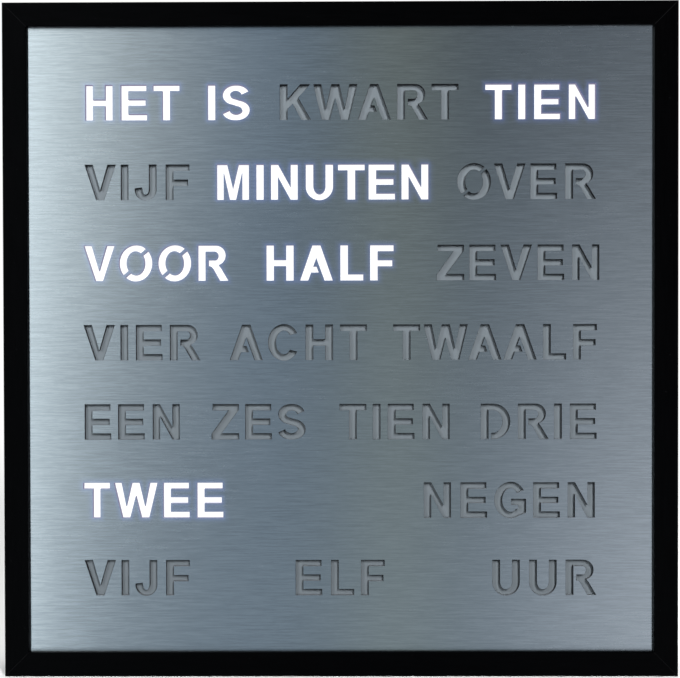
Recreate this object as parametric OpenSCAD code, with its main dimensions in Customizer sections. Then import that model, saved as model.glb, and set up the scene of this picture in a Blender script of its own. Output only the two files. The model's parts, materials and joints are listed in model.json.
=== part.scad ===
// Wall clock that tells the time in lit words: a steel face plate in a mitred box frame, with a light box
// of one cell a word behind it and the electronics between the light box and the back panel.
// X runs to the right, Y from front to back and Z up. The origin is at the middle of the footprint.

/* [Frame] */
// Outside width and height of the square frame
frame_w = 500; // [460:1:620]
// Depth of the frame from its front to its back
frame_depth = 45; // [42:0.5:60]
// Width of the moulding seen from the front
rail_w = 18; // [16:0.5:22]
// Thickness of the lip that the face plate lies against
lip_t = 3; // [2:0.5:6]
// Width of the rebate behind the lip
rebate_w = 4; // [3:0.25:4.5]
// Radius on the outer front edge of the moulding
edge_r = 1.5; // [0.5:0.25:5]
// Radius on the inner front edge of the moulding
sight_r = 0.5; // [0.25:0.25:1.5]
// Side of the square spline that crosses each mitre
spline_w = 7; // [5:0.5:7]
// Thickness of that spline
spline_t = 3; // [1.5:0.5:5]
// Clearance of the spline in its slot, on each side
spline_gap = 0.1; // [0.05:0.05:0.3]

/* [Face plate and words] */
// Thickness of the face plate
plate_t = 3; // [1:0.5:3.5]
// Clearance between the sheets and the rebate's walls
sheet_gap = 0.5; // [0.2:0.1:1]
// Height of the letter windows
letter_h = 26.25; // [20:0.25:28]
// Distance from one row of words to the next
row_pitch = 59; // [45:0.25:60.5]
// Strip of metal left between two letter windows
letter_gap = 5; // [3:0.5:6]

/* [Light box] */
// Thickness of the opal diffuser sheet
diffuser_t = 3; // [2:0.5:4]
// Depth of the space for the electronics behind the light box
cavity_d = 14; // [14:0.5:20]
// How far a word's cell reaches past its letters on each side
cell_margin = 3; // [1:0.5:5]
// Radius in the corners of the word cells
cell_r = 3; // [1:0.5:6]
// Width of a light strip
strip_w = 10; // [8:0.5:12]
// Thickness of a light strip's tape
strip_t = 0.5; // [0.3:0.1:1]
// How far the strips run past the words at each end
strip_run = 5; // [3:0.5:10]
// Side of one lamp on the strip
led_w = 5; // [3:0.5:6]
// Height of one lamp on the strip
led_h = 1.6; // [0.8:0.1:2]
// Distance from one lamp to the next
led_pitch = 16.5; // [10:0.5:34]
// Width of the ribbons that join one strip to the next
ribbon_w = 6; // [4:0.5:8]
// Clearance round strips, lamps and ribbons in the baffle's channels
channel_gap = 0.4; // [0.2:0.1:1]
// Thickness of the board that carries the strips
board_t = 3; // [2:0.5:4]
// Width of the battens that hold the light box in the frame
batten_w = 10; // [6:0.5:14]

/* [Back] */
// Thickness of the back panel
panel_t = 3; // [2:0.5:4]
// Distance of each turn button from the middle of its rail
turn_button_x = 125; // [80:1:160]
// Reach of a turn button from its pivot to its tip
turn_button_reach = 18; // [14:0.5:24]
// Radius of a turn button round its pivot
turn_button_r = 4.5; // [3.5:0.25:6]
// Radius of a turn button's tip
turn_button_tip_r = 3; // [2:0.25:4]
// Thickness of a turn button
turn_button_t = 1.5; // [1:0.25:2]
// Gap between a turn button and the wood below it
swing_gap = 0.2; // [0.1:0.05:0.4]
// Width of a hanger plate
hanger_w = 11; // [10.5:0.25:12]
// Height of a hanger plate
hanger_h = 48; // [40:1:60]
// Thickness of a hanger plate
hanger_t = 1.5; // [1:0.25:2.5]
// Distance from the top of the frame to the middle of a hanger plate
hanger_drop = 70; // [60:1:90]
// Radius of the round end of the keyhole, where a wall screw's head goes in
keyhole_r = 4; // [3.75:0.05:4.25]
// Width of the keyhole's slot, where the wall screw's neck rests
keyhole_slot_w = 4.5; // [3:0.25:5]
// Length of the keyhole from the middle of its round end to the end of its slot
keyhole_len = 11; // [9:0.5:12]
// Depth of the pocket for the wall screw's head in the wood
pocket_depth = 9; // [6:0.5:12]
// Radius of the wall bumpers at the wood
bumper_r = 6; // [4:0.5:6]
// Height of the wall bumpers, which is the clock's gap from the wall
bumper_t = 4.5; // [4.5:0.25:6]
// Distance from the corner of the frame to each bumper
bumper_in = 32; // [15:1:45]

/* [Screws] */
// Radius of a screw's shank
screw_r = 1.5; // [1:0.25:1.75]
// Radius of a screw's head
screw_head_r = 3; // [2.5:0.25:3.5]
// Height of a screw's head
screw_head_h = 1.6; // [1:0.1:2]
// Length of a screw's shank in the wood
screw_len = 12; // [8:0.5:16]
// Clearance round a screw's shank
screw_gap = 0.06; // [0.02:0.01:0.1]

/* [Controller] */
// Width of the controller board
pcb_w = 90; // [80:1:120]
// Height of the controller board
pcb_h = 60; // [54:1:80]
// Thickness of the controller board
pcb_t = 1.6; // [1:0.1:2]
// Place of the board's middle, sideways
pcb_x = -70; // [-90:1:-60]
// Height of the board's middle above the base
pcb_z = 130; // [110:1:180]
// Height of the spacers under the board
standoff_h = 4; // [3.5:0.25:4.5]
// Radius of those spacers
standoff_r = 3; // [2.5:0.25:3.5]
// Distance from the board's edges to its screws
pcb_inset = 4.5; // [4:0.5:7]
// Diameter of the clock's backup cell
cell_d = 20; // [16:0.5:24]
// Thickness of that cell
cell_t = 3.2; // [1.6:0.1:3.6]
// Radius of the round leads
lead_r = 1.5; // [1:0.25:1.75]
// How far from a corner a lead starts to bend
lead_bend = 6; // [4:0.5:10]

/* [Power socket] */
// Radius of the power socket's threaded barrel
socket_r = 5.5; // [5:0.25:6]
// Radius of the socket's flange
socket_flange_r = 7; // [6.5:0.25:7.5]
// Thickness of the socket's flange
socket_flange_t = 2; // [1:0.25:3]
// How deep the flange is let into the bottom of the frame
socket_sink = 0.5; // [0.25:0.25:2]
// Length of the socket behind its flange
socket_len = 19; // [18:0.5:20]
// Radius of the hole for the plug
plug_r = 2.8; // [2.5:0.05:3]
// Depth of the hole for the plug
plug_depth = 10; // [8:0.5:12]
// Radius of the pin in that hole
plug_pin_r = 1.05; // [0.8:0.05:1.3]
// Width across the flats of the socket's nut
socket_nut_w = 13; // [12.5:0.25:13.5]
// Thickness of the socket's nut
socket_nut_t = 2.5; // [2:0.25:3.5]

/* [Set buttons] */
// Place of the first set button, sideways
button_x = 20; // [10:1:60]
// Distance from one set button to the other
button_pitch = 30; // [20:1:60]
// Radius of a button's threaded barrel
button_r = 4; // [3.75:0.25:5]
// Length of that barrel inside the panel's rear face
button_len = 12; // [11:0.25:12.25]
// Radius of a button's bezel
button_bezel_r = 6.5; // [5.5:0.25:8]
// Thickness of a button's bezel
button_bezel_t = 1.5; // [1:0.25:2]
// Radius of the plunger
plunger_r = 2.5; // [2:0.1:2.8]
// How far the plunger stands out of the bezel
plunger_out = 2; // [1.5:0.1:2.5]
// Travel of the plunger
plunger_travel = 1.2; // [0.5:0.1:1.4]
// Running clearance round the plunger
plunger_gap = 0.06; // [0.02:0.01:0.1]
// Width across the flats of a button's nut
button_nut_w = 11; // [10.5:0.25:12]
// Thickness of a button's nut
button_nut_t = 2; // [1.5:0.25:3]

/* [Hidden] */
$fn = 48;
TURN_BUTTONS = 8;
// How far a cutting form runs past what it cuts
CUT = 1;
// Sides of a round lead, steps in a bend, the most of a leg that one takes, and a way that no lead runs
LEAD_SIDES = 8;
BEND_STEPS = 4;
BEND_SHARE = 0.45;
LEAD_ASIDE = [1, 0.3, 0.2];
// Each row's words, as left edge, width and number of letters; the first two are in letter heights
WORD_ROWS = [
    [[0, 2.67, 3], [3.47, 1.21, 2], [5.52, 5.06, 5], [11.34, 3.12, 4]],
    [[0, 2.96, 4], [3.73, 5.98, 7], [10.57, 3.9, 4]],
    [[0, 4.1, 4], [5.13, 3.61, 4], [9.93, 4.57, 5]],
    [[0, 3.31, 4], [4.1, 3.89, 4], [8.74, 5.74, 6]],
    [[0, 2.7, 3], [3.58, 2.67, 3], [7.22, 3.09, 4], [11.21, 3.27, 4]],
    [[0, 3.97, 4], [9.6, 4.84, 5]],
    [[0, 2.96, 4], [5.99, 2.5, 3], [11.53, 2.93, 3]],
];
ROWS = len(WORD_ROWS);
// Width of the field of words, in letter heights
FIELD_SHARE = 14.5;

field_w = FIELD_SHARE * letter_h;
overall_depth = frame_depth + bumper_t;
mid_z = frame_w / 2;
wood_w = rail_w - rebate_w;
pocket_w = frame_w - 2 * wood_w;
sheet_w = pocket_w - 2 * sheet_gap;

// Where each layer starts, measured from the front of the frame
plate_at = lip_t;
diffuser_at = plate_at + plate_t;
baffle_at = diffuser_at + diffuser_t;
panel_at = frame_depth - panel_t;
cavity_at = panel_at - cavity_d;
board_at = cavity_at - board_t;
baffle_t = board_at - baffle_at;
pcb_at = cavity_at + standoff_h;
parts_at = pcb_at + pcb_t;
spline_at = frame_depth / 2;

strip_len = field_w + 2 * strip_run;
leds = floor((strip_len - led_w) / led_pitch) + 1;
channel_d = strip_t + led_h + channel_gap;
ribbon_x = strip_len / 2 + ribbon_w / 2;
feed_hole_r = lead_r + 1;
feed_x = -ribbon_x;
board_bite = board_t - 0.8;

rail_mid = wood_w / 2;
tab_at = frame_depth + swing_gap;
keyhole_drop = keyhole_len / 2;
socket_at = cavity_at + cavity_d / 2;
socket_top = socket_sink + socket_flange_t + socket_len;
socket_gap = 0.05;
screw_bottom = frame_depth - screw_len - 1;
notch_w = socket_nut_w / cos(30) + 4;
terminal_h = 4;
terminal_w = 2;
terminal_t = 0.5;
block_w = 16;
block_h = 10;
block_t = 7.5;
block_z = pcb_z - pcb_h / 2 + block_h / 2;
part_gap = 1.5;
plug_strip_w = 12;
plug_strip_h = 6;
plug_strip_t = 5.5;
plug_strip_x = pcb_x - pcb_w / 2 + pcb_inset + screw_head_r + part_gap + plug_strip_w / 2;
plug_strip_z = pcb_z + pcb_h / 2 - plug_strip_h / 2 - part_gap;
chip_w = 34;
chip_h = 8;
chip_t = 3.5;
timer_w = 10;
timer_h = 7.5;
timer_t = 2.4;
// Places of three parts from the board's middle, as shares of its width and height
CHIP_SHARE = [-0.22, 0.04];
TIMER_SHARE = [-0.29, -0.17];
CAPACITOR_SHARE = [0.31, -0.28];
holder_wall = 1.5;
holder_floor = 1.2;
holder_r = cell_d / 2 + holder_wall;
holder_x = pcb_x + pcb_w / 2 - pcb_inset - screw_head_r - part_gap - holder_r;
holder_z = pcb_z + pcb_h / 2 - pcb_inset - holder_r;
capacitor_r = 4;
capacitor_t = 7;
button_z = pcb_z;
button_in = frame_depth - button_len;
lug_h = 2.5;
stop_d = 4;
flange_t = 1.2;
plunger_flange_r = plunger_r + 0.6;
chamber_d = flange_t + plunger_travel + 1.2;
lead_end_gap = 0.3;
lead_at = cavity_at + lead_r + lead_end_gap;

// ---- Places and simple forms ----

// Y of a plane that lies a given depth behind the front of the frame
function y_at(depth) = depth - overall_depth / 2;

// Height of the middle of a row of words, the first row at the top
function row_z(row) = mid_z + ((ROWS - 1) / 2 - row) * row_pitch;

// Left edge of a word
function word_x(word) = word[0] * letter_h - field_w / 2;

// A flat shape drawn in X and Z, made into a layer
module slab(front, thick) {
    translate([0, y_at(front) + thick, 0])
        rotate([90, 0, 0])
            linear_extrude(thick)
                children();
}

// A round bar along Y
module rod(front, length, r, x, z) {
    translate([x, y_at(front), z])
        rotate([-90, 0, 0])
            cylinder(h = length, r = r);
}

// A square sheet in the middle of the frame
module sheet_2d() {
    translate([0, mid_z])
        square(sheet_w, center = true);
}

// A rectangle with round corners, about its middle
module round_rect(w, h, r) {
    square([w - 2 * r, h], center = true);
    square([w, h - 2 * r], center = true);
    for (x = [-1, 1], z = [-1, 1])
        translate([x * (w / 2 - r), z * (h / 2 - r)])
            circle(r);
}

// Turns what is drawn at the bottom rail to one of the four sides
module at_side(side) {
    translate([0, 0, mid_z])
        rotate([0, 90 * side, 0])
            translate([0, 0, -mid_z])
                children();
}

function unit(v) = v / norm(v);

// A route with each of its corners turned into a short curve
function curved_route(p) = concat(
    [p[0]],
    [for (i = [1:1:len(p) - 2])
        let (back = p[i - 1] - p[i],
             on = p[i + 1] - p[i],
             cut = min(lead_bend, BEND_SHARE * min(norm(back), norm(on))),
             a = p[i] + unit(back) * cut,
             b = p[i] + unit(on) * cut)
        for (k = [0:BEND_STEPS])
            let (s = k / BEND_STEPS)
            (1 - s) * (1 - s) * a + 2 * s * (1 - s) * p[i] + s * s * b],
    [p[len(p) - 1]]);

// Which way a route runs at one of its points
function heading(p, i) = unit(
    (i > 0 ? unit(p[i] - p[i - 1]) : [0, 0, 0]) + (i < len(p) - 1 ? unit(p[i + 1] - p[i]) : [0, 0, 0]));

// A round lead along a route, whose points are given as X, depth and Z
module lead(points, r) {
    route = curved_route([for (p = points) [p[0], y_at(p[1]), p[2]]]);
    ends = len(route) - 1;
    rings = [for (i = [0:ends], k = [0:LEAD_SIDES - 1])
        let (t = heading(route, i),
             u = unit(cross(t, LEAD_ASIDE)),
             v = cross(t, u),
             turn = 360 * k / LEAD_SIDES)
        route[i] + r * (cos(turn) * u + sin(turn) * v)];
    walls = [for (i = [0:ends - 1], k = [0:LEAD_SIDES - 1])
        let (a = i * LEAD_SIDES + k, b = i * LEAD_SIDES + (k + 1) % LEAD_SIDES)
        [a, a + LEAD_SIDES, b + LEAD_SIDES, b]];
    caps = [[for (k = [0:LEAD_SIDES - 1]) k], [for (k = [LEAD_SIDES - 1:-1:0]) ends * LEAD_SIDES + k]];
    polyhedron(points = rings, faces = concat(walls, caps));
}

// A slotted screw driven forwards into the piece whose rear face is at `seat`
module screw(x, z, seat, length, r = screw_r) {
    slot_w = 0.8;
    slot_d = 0.7;
    rod(seat - length, length + (screw_head_h - slot_d) / 2, r, x, z);
    difference() {
        rod(seat, screw_head_h, screw_head_r, x, z);
        translate([x - screw_head_r - CUT, y_at(seat + screw_head_h - slot_d), z - slot_w / 2])
            cube([2 * (screw_head_r + CUT), slot_d + CUT, slot_w]);
    }
}

// A six-sided nut round an axis along Z, with two flats facing along Y
module nut(width, thick, bore_r) {
    difference() {
        cylinder(h = thick, r = width / 2 / cos(30), $fn = 6);
        translate([0, 0, -CUT])
            cylinder(h = thick + 2 * CUT, r = bore_r);
    }
}

// ---- Frame ----

// The moulding's section: depth along X and height along Y, with the lip at the front
module moulding_2d() {
    difference() {
        union() {
            square([frame_depth, wood_w]);
            square([lip_t, rail_w]);
        }
        difference() {
            square(edge_r);
            translate([edge_r, edge_r])
                circle(edge_r);
        }
        difference() {
            translate([0, rail_w - sight_r])
                square(sight_r);
            translate([sight_r, rail_w - sight_r])
                circle(sight_r);
        }
    }
}

// Outline of the bottom rail from the front, with its two mitres
module mitred_2d() {
    half = frame_w / 2;
    polygon([[-half, 0], [half, 0], [half - rail_w, rail_w], [rail_w - half, rail_w]]);
}

// A square across the mitre at the right-hand end of the bottom rail
module spline_2d(gap) {
    translate([frame_w / 2 - rail_mid, rail_mid])
        rotate(45)
            square(spline_w + 2 * gap, center = true);
}

// The bottom rail without its fittings, also used for the other three
module plain_rail() {
    difference() {
        intersection() {
            translate([-frame_w / 2, y_at(0), 0])
                rotate([90, 0, 90])
                    linear_extrude(frame_w)
                        moulding_2d();
            slab(-CUT, frame_depth + 2 * CUT)
                mitred_2d();
        }
        for (end = [0, 1])
            mirror([end, 0, 0])
                slab(spline_at - spline_gap, spline_t + 2 * spline_gap)
                    spline_2d(spline_gap);
        for (side = [-1, 1])
            rod(screw_bottom, frame_depth - screw_bottom + CUT, screw_r + screw_gap,
                side * turn_button_x, rail_mid);
    }
}

module bottom_rail() {
    color("#1c1c1e")
        difference() {
            plain_rail();
            translate([pcb_x, y_at(socket_at), 0]) {
                translate([0, 0, -CUT])
                    cylinder(h = wood_w + 2 * CUT, r = socket_r + socket_gap);
                translate([0, 0, -CUT])
                    cylinder(h = CUT + socket_sink + socket_flange_t, r = socket_flange_r + socket_gap);
            }
        }
}

// A slot about the middle of a hanger plate, from the keyhole's round end up to its narrow end
module hanging_slot_2d(r) {
    rise = keyhole_len - keyhole_slot_w / 2;
    translate([0, -keyhole_drop]) {
        circle(r);
        translate([-r, 0])
            square([2 * r, rise]);
        translate([0, rise])
            circle(r);
    }
}

// Keyhole outline: a round end for the screw's head and a slot above it for its neck
module keyhole_2d() {
    hanging_slot_2d(keyhole_slot_w / 2);
    translate([0, -keyhole_drop])
        circle(keyhole_r);
}

// A side rail with the pocket behind its hanger plate, at the left or the right
module side_rail(side) {
    hand = side == 1 ? -1 : 1;
    hanger_x = hand * (frame_w / 2 - rail_mid);
    color("#1c1c1e")
        difference() {
            at_side(side)
                plain_rail();
            slab(frame_depth - pocket_depth, pocket_depth + CUT)
                translate([hanger_x, frame_w - hanger_drop])
                    hanging_slot_2d(keyhole_r + screw_gap);
            for (end = [-1, 1])
                rod(screw_bottom, frame_depth - screw_bottom + CUT, screw_r + screw_gap,
                    hanger_x, frame_w - hanger_drop + end * (hanger_h / 2 - hanger_w / 2));
        }
}

module top_rail() {
    color("#1c1c1e")
        at_side(2)
            plain_rail();
}

module mitre_splines() {
    color("#b79a6b")
        for (side = [0:3])
            at_side(side)
                slab(spline_at, spline_t)
                    spline_2d(0);
}

// ---- Face and light box ----

// One plain window for each letter of every word
module letter_windows_2d() {
    for (row = [0:ROWS - 1], word = WORD_ROWS[row]) {
        letters = word[2];
        window_w = (word[1] * letter_h - (letters - 1) * letter_gap) / letters;
        for (k = [0:letters - 1])
            translate([word_x(word) + k * (window_w + letter_gap), row_z(row) - letter_h / 2])
                square([window_w, letter_h]);
    }
}

// One cell for each word, wider and higher than its letters
module word_cells_2d() {
    for (row = [0:ROWS - 1], word = WORD_ROWS[row])
        translate([word_x(word) + word[1] * letter_h / 2, row_z(row)])
            round_rect(word[1] * letter_h + 2 * cell_margin, letter_h + 2 * cell_margin, cell_r);
}

module face_plate() {
    color("#8d979e")
        slab(plate_at, plate_t)
            difference() {
                sheet_2d();
                letter_windows_2d();
            }
}

module diffuser() {
    color("#e6e8ec")
        slab(diffuser_at, diffuser_t)
            sheet_2d();
}

// Which end of a row its ribbon to the next row is at: right, left, right and so on
function ribbon_side(row) = row % 2 == 0 ? 1 : -1;

module light_baffle() {
    back = baffle_at + baffle_t;
    channel_w = strip_w + 2 * channel_gap;
    channel_len = 2 * ribbon_x + ribbon_w + 2 * channel_gap;
    color("#202225")
        difference() {
            slab(baffle_at, baffle_t)
                difference() {
                    sheet_2d();
                    word_cells_2d();
                }
            for (row = [0:ROWS - 1])
                slab(back - channel_d, channel_d + CUT)
                    translate([0, row_z(row)])
                        square([channel_len, channel_w], center = true);
            for (row = [0:ROWS - 2])
                slab(back - channel_d, channel_d + CUT)
                    translate([ribbon_side(row) * ribbon_x, row_z(row) - row_pitch / 2])
                        square([ribbon_w + 2 * channel_gap, row_pitch + strip_w], center = true);
        }
}

// The tape of one row with its lamps, on the front of the strip board
module light_strip(row) {
    color("#f3f3ee") {
        slab(board_at - strip_t, strip_t)
            translate([0, row_z(row)])
                square([strip_len, strip_w], center = true);
        for (k = [0:leds - 1])
            slab(board_at - strip_t - led_h, led_h + strip_t / 2)
                translate([(k - (leds - 1) / 2) * led_pitch, row_z(row)])
                    square(led_w, center = true);
    }
}

module strip_ribbons() {
    color("#c9362c")
        for (row = [0:ROWS - 2])
            slab(board_at - strip_t, strip_t)
                translate([ribbon_side(row) * ribbon_x, row_z(row) - row_pitch / 2])
                    square([ribbon_w, row_pitch + strip_w / 2], center = true);
}

module strip_board() {
    color("#d8d4c8")
        difference() {
            slab(board_at, board_t)
                difference() {
                    sheet_2d();
                    translate([feed_x, row_z(0)])
                        circle(feed_hole_r);
                }
            for (p = pcb_screws())
                rod(cavity_at - board_bite, board_bite + CUT, screw_r + screw_gap, p[0], p[1]);
        }
}

// A batten along one side of the pocket; those at the left and right fit between the other two
module batten(side) {
    length = side % 2 == 0 ? pocket_w : pocket_w - 2 * batten_w;
    at_side(side)
        slab(cavity_at, cavity_d)
            translate([-length / 2, wood_w])
                square([length, batten_w]);
}

module bottom_batten() {
    color("#c8a877")
        difference() {
            batten(0);
            slab(cavity_at - CUT, cavity_d + 2 * CUT)
                translate([pcb_x - notch_w / 2, wood_w - CUT])
                    square([notch_w, batten_w + 2 * CUT]);
        }
}

module plain_batten(side) {
    color("#c8a877")
        batten(side);
}

// ---- Controller ----

// Where the board's four screws are
function pcb_screws() = [for (x = [-1, 1], z = [-1, 1])
    [pcb_x + x * (pcb_w / 2 - pcb_inset), pcb_z + z * (pcb_h / 2 - pcb_inset)]];

// A place on the board, from its shares of the board's width and height
function board_x(share) = pcb_x + share[0] * pcb_w;
function board_z(share) = pcb_z + share[1] * pcb_h;

// A block on the rear face of the controller board
module on_board(x, z, w, h, t) {
    slab(parts_at, t)
        translate([x - w / 2, z - h / 2])
            square([w, h]);
}

module controller_board() {
    corner_r = 3;
    color("#1f6b45")
        difference() {
            slab(pcb_at, pcb_t)
                translate([pcb_x, pcb_z])
                    round_rect(pcb_w, pcb_h, corner_r);
            for (p = pcb_screws())
                rod(pcb_at - CUT, pcb_t + 2 * CUT, screw_r + screw_gap, p[0], p[1]);
        }
}

module controller_chips() {
    color("#26282b") {
        on_board(board_x(CHIP_SHARE), board_z(CHIP_SHARE), chip_w, chip_h, chip_t);
        on_board(board_x(TIMER_SHARE), board_z(TIMER_SHARE), timer_w, timer_h, timer_t);
    }
}

// A round cup that is open at the back and at two sides, so that the cell can be lifted out
module cell_holder() {
    thumb_w = 10;
    rim = 0.4;
    cell_at = parts_at + holder_floor;
    color("#2c2f33")
        difference() {
            rod(parts_at, holder_floor + cell_t + rim, holder_r, holder_x, holder_z);
            rod(cell_at, cell_t + rim + CUT, cell_d / 2 + screw_gap, holder_x, holder_z);
            slab(cell_at, cell_t + rim + CUT)
                translate([holder_x, holder_z])
                    square([2 * (holder_r + CUT), thumb_w], center = true);
        }
}

module backup_cell() {
    rim = 1.2;
    step = 0.4;
    cell_at = parts_at + holder_floor;
    color("#c9ccd0") {
        rod(cell_at, cell_t, cell_d / 2 - rim, holder_x, holder_z);
        rod(cell_at + step, cell_t - step, cell_d / 2, holder_x, holder_z);
    }
}

// Two screw terminals, with the wire's hole at the lower side
module screw_terminals() {
    hole_depth = 6;
    well_r = 2;
    well_d = 1.5;
    color("#2f7d4f")
        difference() {
            on_board(pcb_x, block_z, block_w, block_h, block_t);
            for (x = [-1, 1])
                rod(parts_at + block_t - well_d, well_d + CUT, well_r, pcb_x + x * block_w / 4, block_z);
            translate([pcb_x, y_at(parts_at + block_t / 2), block_z - block_h / 2 - CUT])
                cylinder(h = hole_depth + CUT, r = lead_r + screw_gap);
        }
}

module strip_plug() {
    color("#efe9dc")
        difference() {
            on_board(plug_strip_x, plug_strip_z, plug_strip_w, plug_strip_h, plug_strip_t);
            translate([plug_strip_x, y_at(parts_at + plug_strip_t / 2), plug_strip_z])
                cylinder(h = plug_strip_h, r = lead_r + screw_gap);
        }
}

module capacitor() {
    color("#30343c")
        rod(parts_at, capacitor_t, capacitor_r, board_x(CAPACITOR_SHARE), board_z(CAPACITOR_SHARE));
}

module board_spacers() {
    color("#c8b070")
        for (p = pcb_screws())
            difference() {
                rod(cavity_at, standoff_h, standoff_r, p[0], p[1]);
                rod(cavity_at - CUT, standoff_h + 2 * CUT, screw_r + screw_gap, p[0], p[1]);
            }
}

module board_screws() {
    color("#b9bcc0")
        for (p = pcb_screws())
            screw(p[0], p[1], parts_at, pcb_t + standoff_h + board_bite);
}

// ---- Power and leads ----

module power_socket() {
    pin_sink = 1;
    color("#2b2d30")
        translate([pcb_x, y_at(socket_at), 0]) {
            difference() {
                union() {
                    translate([0, 0, socket_sink])
                        cylinder(h = socket_flange_t, r = socket_flange_r);
                    translate([0, 0, socket_sink])
                        cylinder(h = socket_flange_t + socket_len, r = socket_r);
                }
                translate([0, 0, socket_sink - CUT])
                    cylinder(h = plug_depth + CUT, r = plug_r);
            }
            translate([0, 0, socket_sink + pin_sink])
                cylinder(h = plug_depth - pin_sink + CUT, r = plug_pin_r);
            for (x = [-1, 1])
                translate([x * socket_r / 2 - terminal_w / 2, -terminal_t / 2, socket_top - CUT])
                    cube([terminal_w, terminal_t, terminal_h + CUT]);
        }
}

module power_socket_nut() {
    color("#b9bcc0")
        translate([pcb_x, y_at(socket_at), wood_w])
            nut(socket_nut_w, socket_nut_t, socket_r + socket_gap);
}

// From between the socket's terminals up to the screw terminals
module power_lead() {
    rise = 20;
    drop = 10;
    entry = 4;
    block_at = parts_at + block_t / 2;
    block_low = block_z - block_h / 2;
    color("#33363a")
        lead([[pcb_x, socket_at, socket_top + lead_end_gap],
              [pcb_x, socket_at, socket_top + rise],
              [pcb_x, block_at, block_low - drop],
              [pcb_x, block_at, block_low + entry]], lead_r);
}

// From the controller along the strip board, through its hole and on to the first strip
module strip_lead() {
    plug_at = parts_at + plug_strip_t / 2;
    entry = 1;
    straight = 8;
    dip = 14;
    slant = 96;
    rise = pcb_z + pcb_h / 2 + straight;
    color("#33363a")
        lead([[plug_strip_x, plug_at, plug_strip_z + entry],
              [plug_strip_x, plug_at, rise],
              [plug_strip_x, lead_at, rise + dip],
              [feed_x, lead_at, rise + dip + slant],
              [feed_x, lead_at, row_z(0)],
              [feed_x, board_at - strip_t, row_z(0)]], lead_r);
}

// Along both set buttons to the edge of the controller board
module button_lead() {
    thinness = 0.7;
    level = 12;
    slope = 8;
    thin_r = thinness * lead_r;
    under_lugs = button_in - lug_h - thin_r - screw_gap;
    edge = pcb_x + pcb_w / 2;
    color("#33363a")
        lead([[button_x + button_pitch, under_lugs, button_z],
              [edge + level, under_lugs, button_z],
              [edge + level - slope, pcb_at + pcb_t / 2, button_z],
              [edge + lead_end_gap, pcb_at + pcb_t / 2, button_z]], thin_r);
}

// ---- Back ----

module back_panel() {
    color("#8a6a45")
        difference() {
            slab(panel_at, panel_t)
                sheet_2d();
            for (k = [0, 1])
                rod(panel_at - CUT, panel_t + 2 * CUT, button_r + screw_gap,
                    button_x + k * button_pitch, button_z);
        }
}

// Threaded barrels with a bezel, a bore for the plunger and a wider chamber for its flange
module set_button_barrels() {
    chamber_at = frame_depth - stop_d - chamber_d;
    color("#2b2d30")
        for (k = [0, 1]) {
            x = button_x + k * button_pitch;
            difference() {
                union() {
                    rod(button_in, button_len + button_bezel_t / 2, button_r, x, button_z);
                    rod(frame_depth, button_bezel_t, button_bezel_r, x, button_z);
                }
                rod(chamber_at, frame_depth + button_bezel_t + CUT - chamber_at, plunger_r + plunger_gap,
                    x, button_z);
                rod(chamber_at, chamber_d, plunger_flange_r + plunger_gap, x, button_z);
            }
            for (side = [-1, 1])
                translate([x + side * button_r / 2 - terminal_w / 2, y_at(button_in - lug_h),
                           button_z - terminal_t / 2])
                    cube([terminal_w, lug_h + CUT, terminal_t]);
        }
}

module set_button_nuts() {
    color("#b9bcc0")
        for (k = [0, 1])
            translate([button_x + k * button_pitch, y_at(panel_at), button_z])
                rotate([90, 0, 0])
                    nut(button_nut_w, button_nut_t, button_r + socket_gap);
}

// A plunger with a flange that stops it under the bezel and a bevelled cap
module plunger(x) {
    bevel = 0.5;
    flange_at = frame_depth - stop_d - flange_t - plunger_gap;
    top = frame_depth + button_bezel_t + plunger_out;
    rod(flange_at, flange_t, plunger_flange_r, x, button_z);
    rod(flange_at, top - bevel - flange_at, plunger_r, x, button_z);
    translate([x, y_at(top - bevel), button_z])
        rotate([-90, 0, 0])
            cylinder(h = bevel, r1 = plunger_r, r2 = plunger_r - bevel);
}

module hour_button() {
    color("#c02f2b")
        plunger(button_x);
}

module minute_button() {
    color("#2d2f33")
        plunger(button_x + button_pitch);
}

// Outline of a turn button that points up from its pivot: two circles and their common tangents
module turn_button_2d() {
    span = turn_button_reach - turn_button_tip_r;
    lean = acos((turn_button_r - turn_button_tip_r) / span);
    across = sin(lean);
    along = cos(lean);
    circle(turn_button_r);
    translate([0, span])
        circle(turn_button_tip_r);
    polygon([[turn_button_r * across, turn_button_r * along],
             [turn_button_tip_r * across, span + turn_button_tip_r * along],
             [-turn_button_tip_r * across, span + turn_button_tip_r * along],
             [-turn_button_r * across, turn_button_r * along]]);
}

// Two on each side of the frame, in the order bottom, left, top, right
module turn_button(i) {
    color("#c3b27a")
        at_side(floor(i / 2))
            slab(tab_at, turn_button_t)
                translate([(i % 2 == 0 ? -1 : 1) * turn_button_x, rail_mid])
                    difference() {
                        turn_button_2d();
                        circle(screw_r + screw_gap);
                    }
}

module turn_button_screws() {
    seat = tab_at + turn_button_t + swing_gap;
    color("#c3b27a")
        for (side = [0:3], hand = [-1, 1])
            at_side(side)
                screw(hand * turn_button_x, rail_mid, seat, screw_len + seat - frame_depth);
}

// Plates with a keyhole for a wall screw and a fixing screw at each end
module hanger_plates() {
    color("#b9bcc0")
        for (hand = [-1, 1])
            slab(frame_depth, hanger_t)
                translate([hand * (frame_w / 2 - rail_mid), frame_w - hanger_drop])
                    difference() {
                        round_rect(hanger_w, hanger_h, hanger_w / 2 - 0.5);
                        keyhole_2d();
                        for (end = [-1, 1])
                            translate([0, end * (hanger_h / 2 - hanger_w / 2)])
                                circle(screw_r + screw_gap);
                    }
}

module hanger_screws() {
    color("#b9bcc0")
        for (hand = [-1, 1], end = [-1, 1])
            screw(hand * (frame_w / 2 - rail_mid), frame_w - hanger_drop + end * (hanger_h / 2 - hanger_w / 2),
                frame_depth + hanger_t, screw_len + hanger_t);
}

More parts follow.
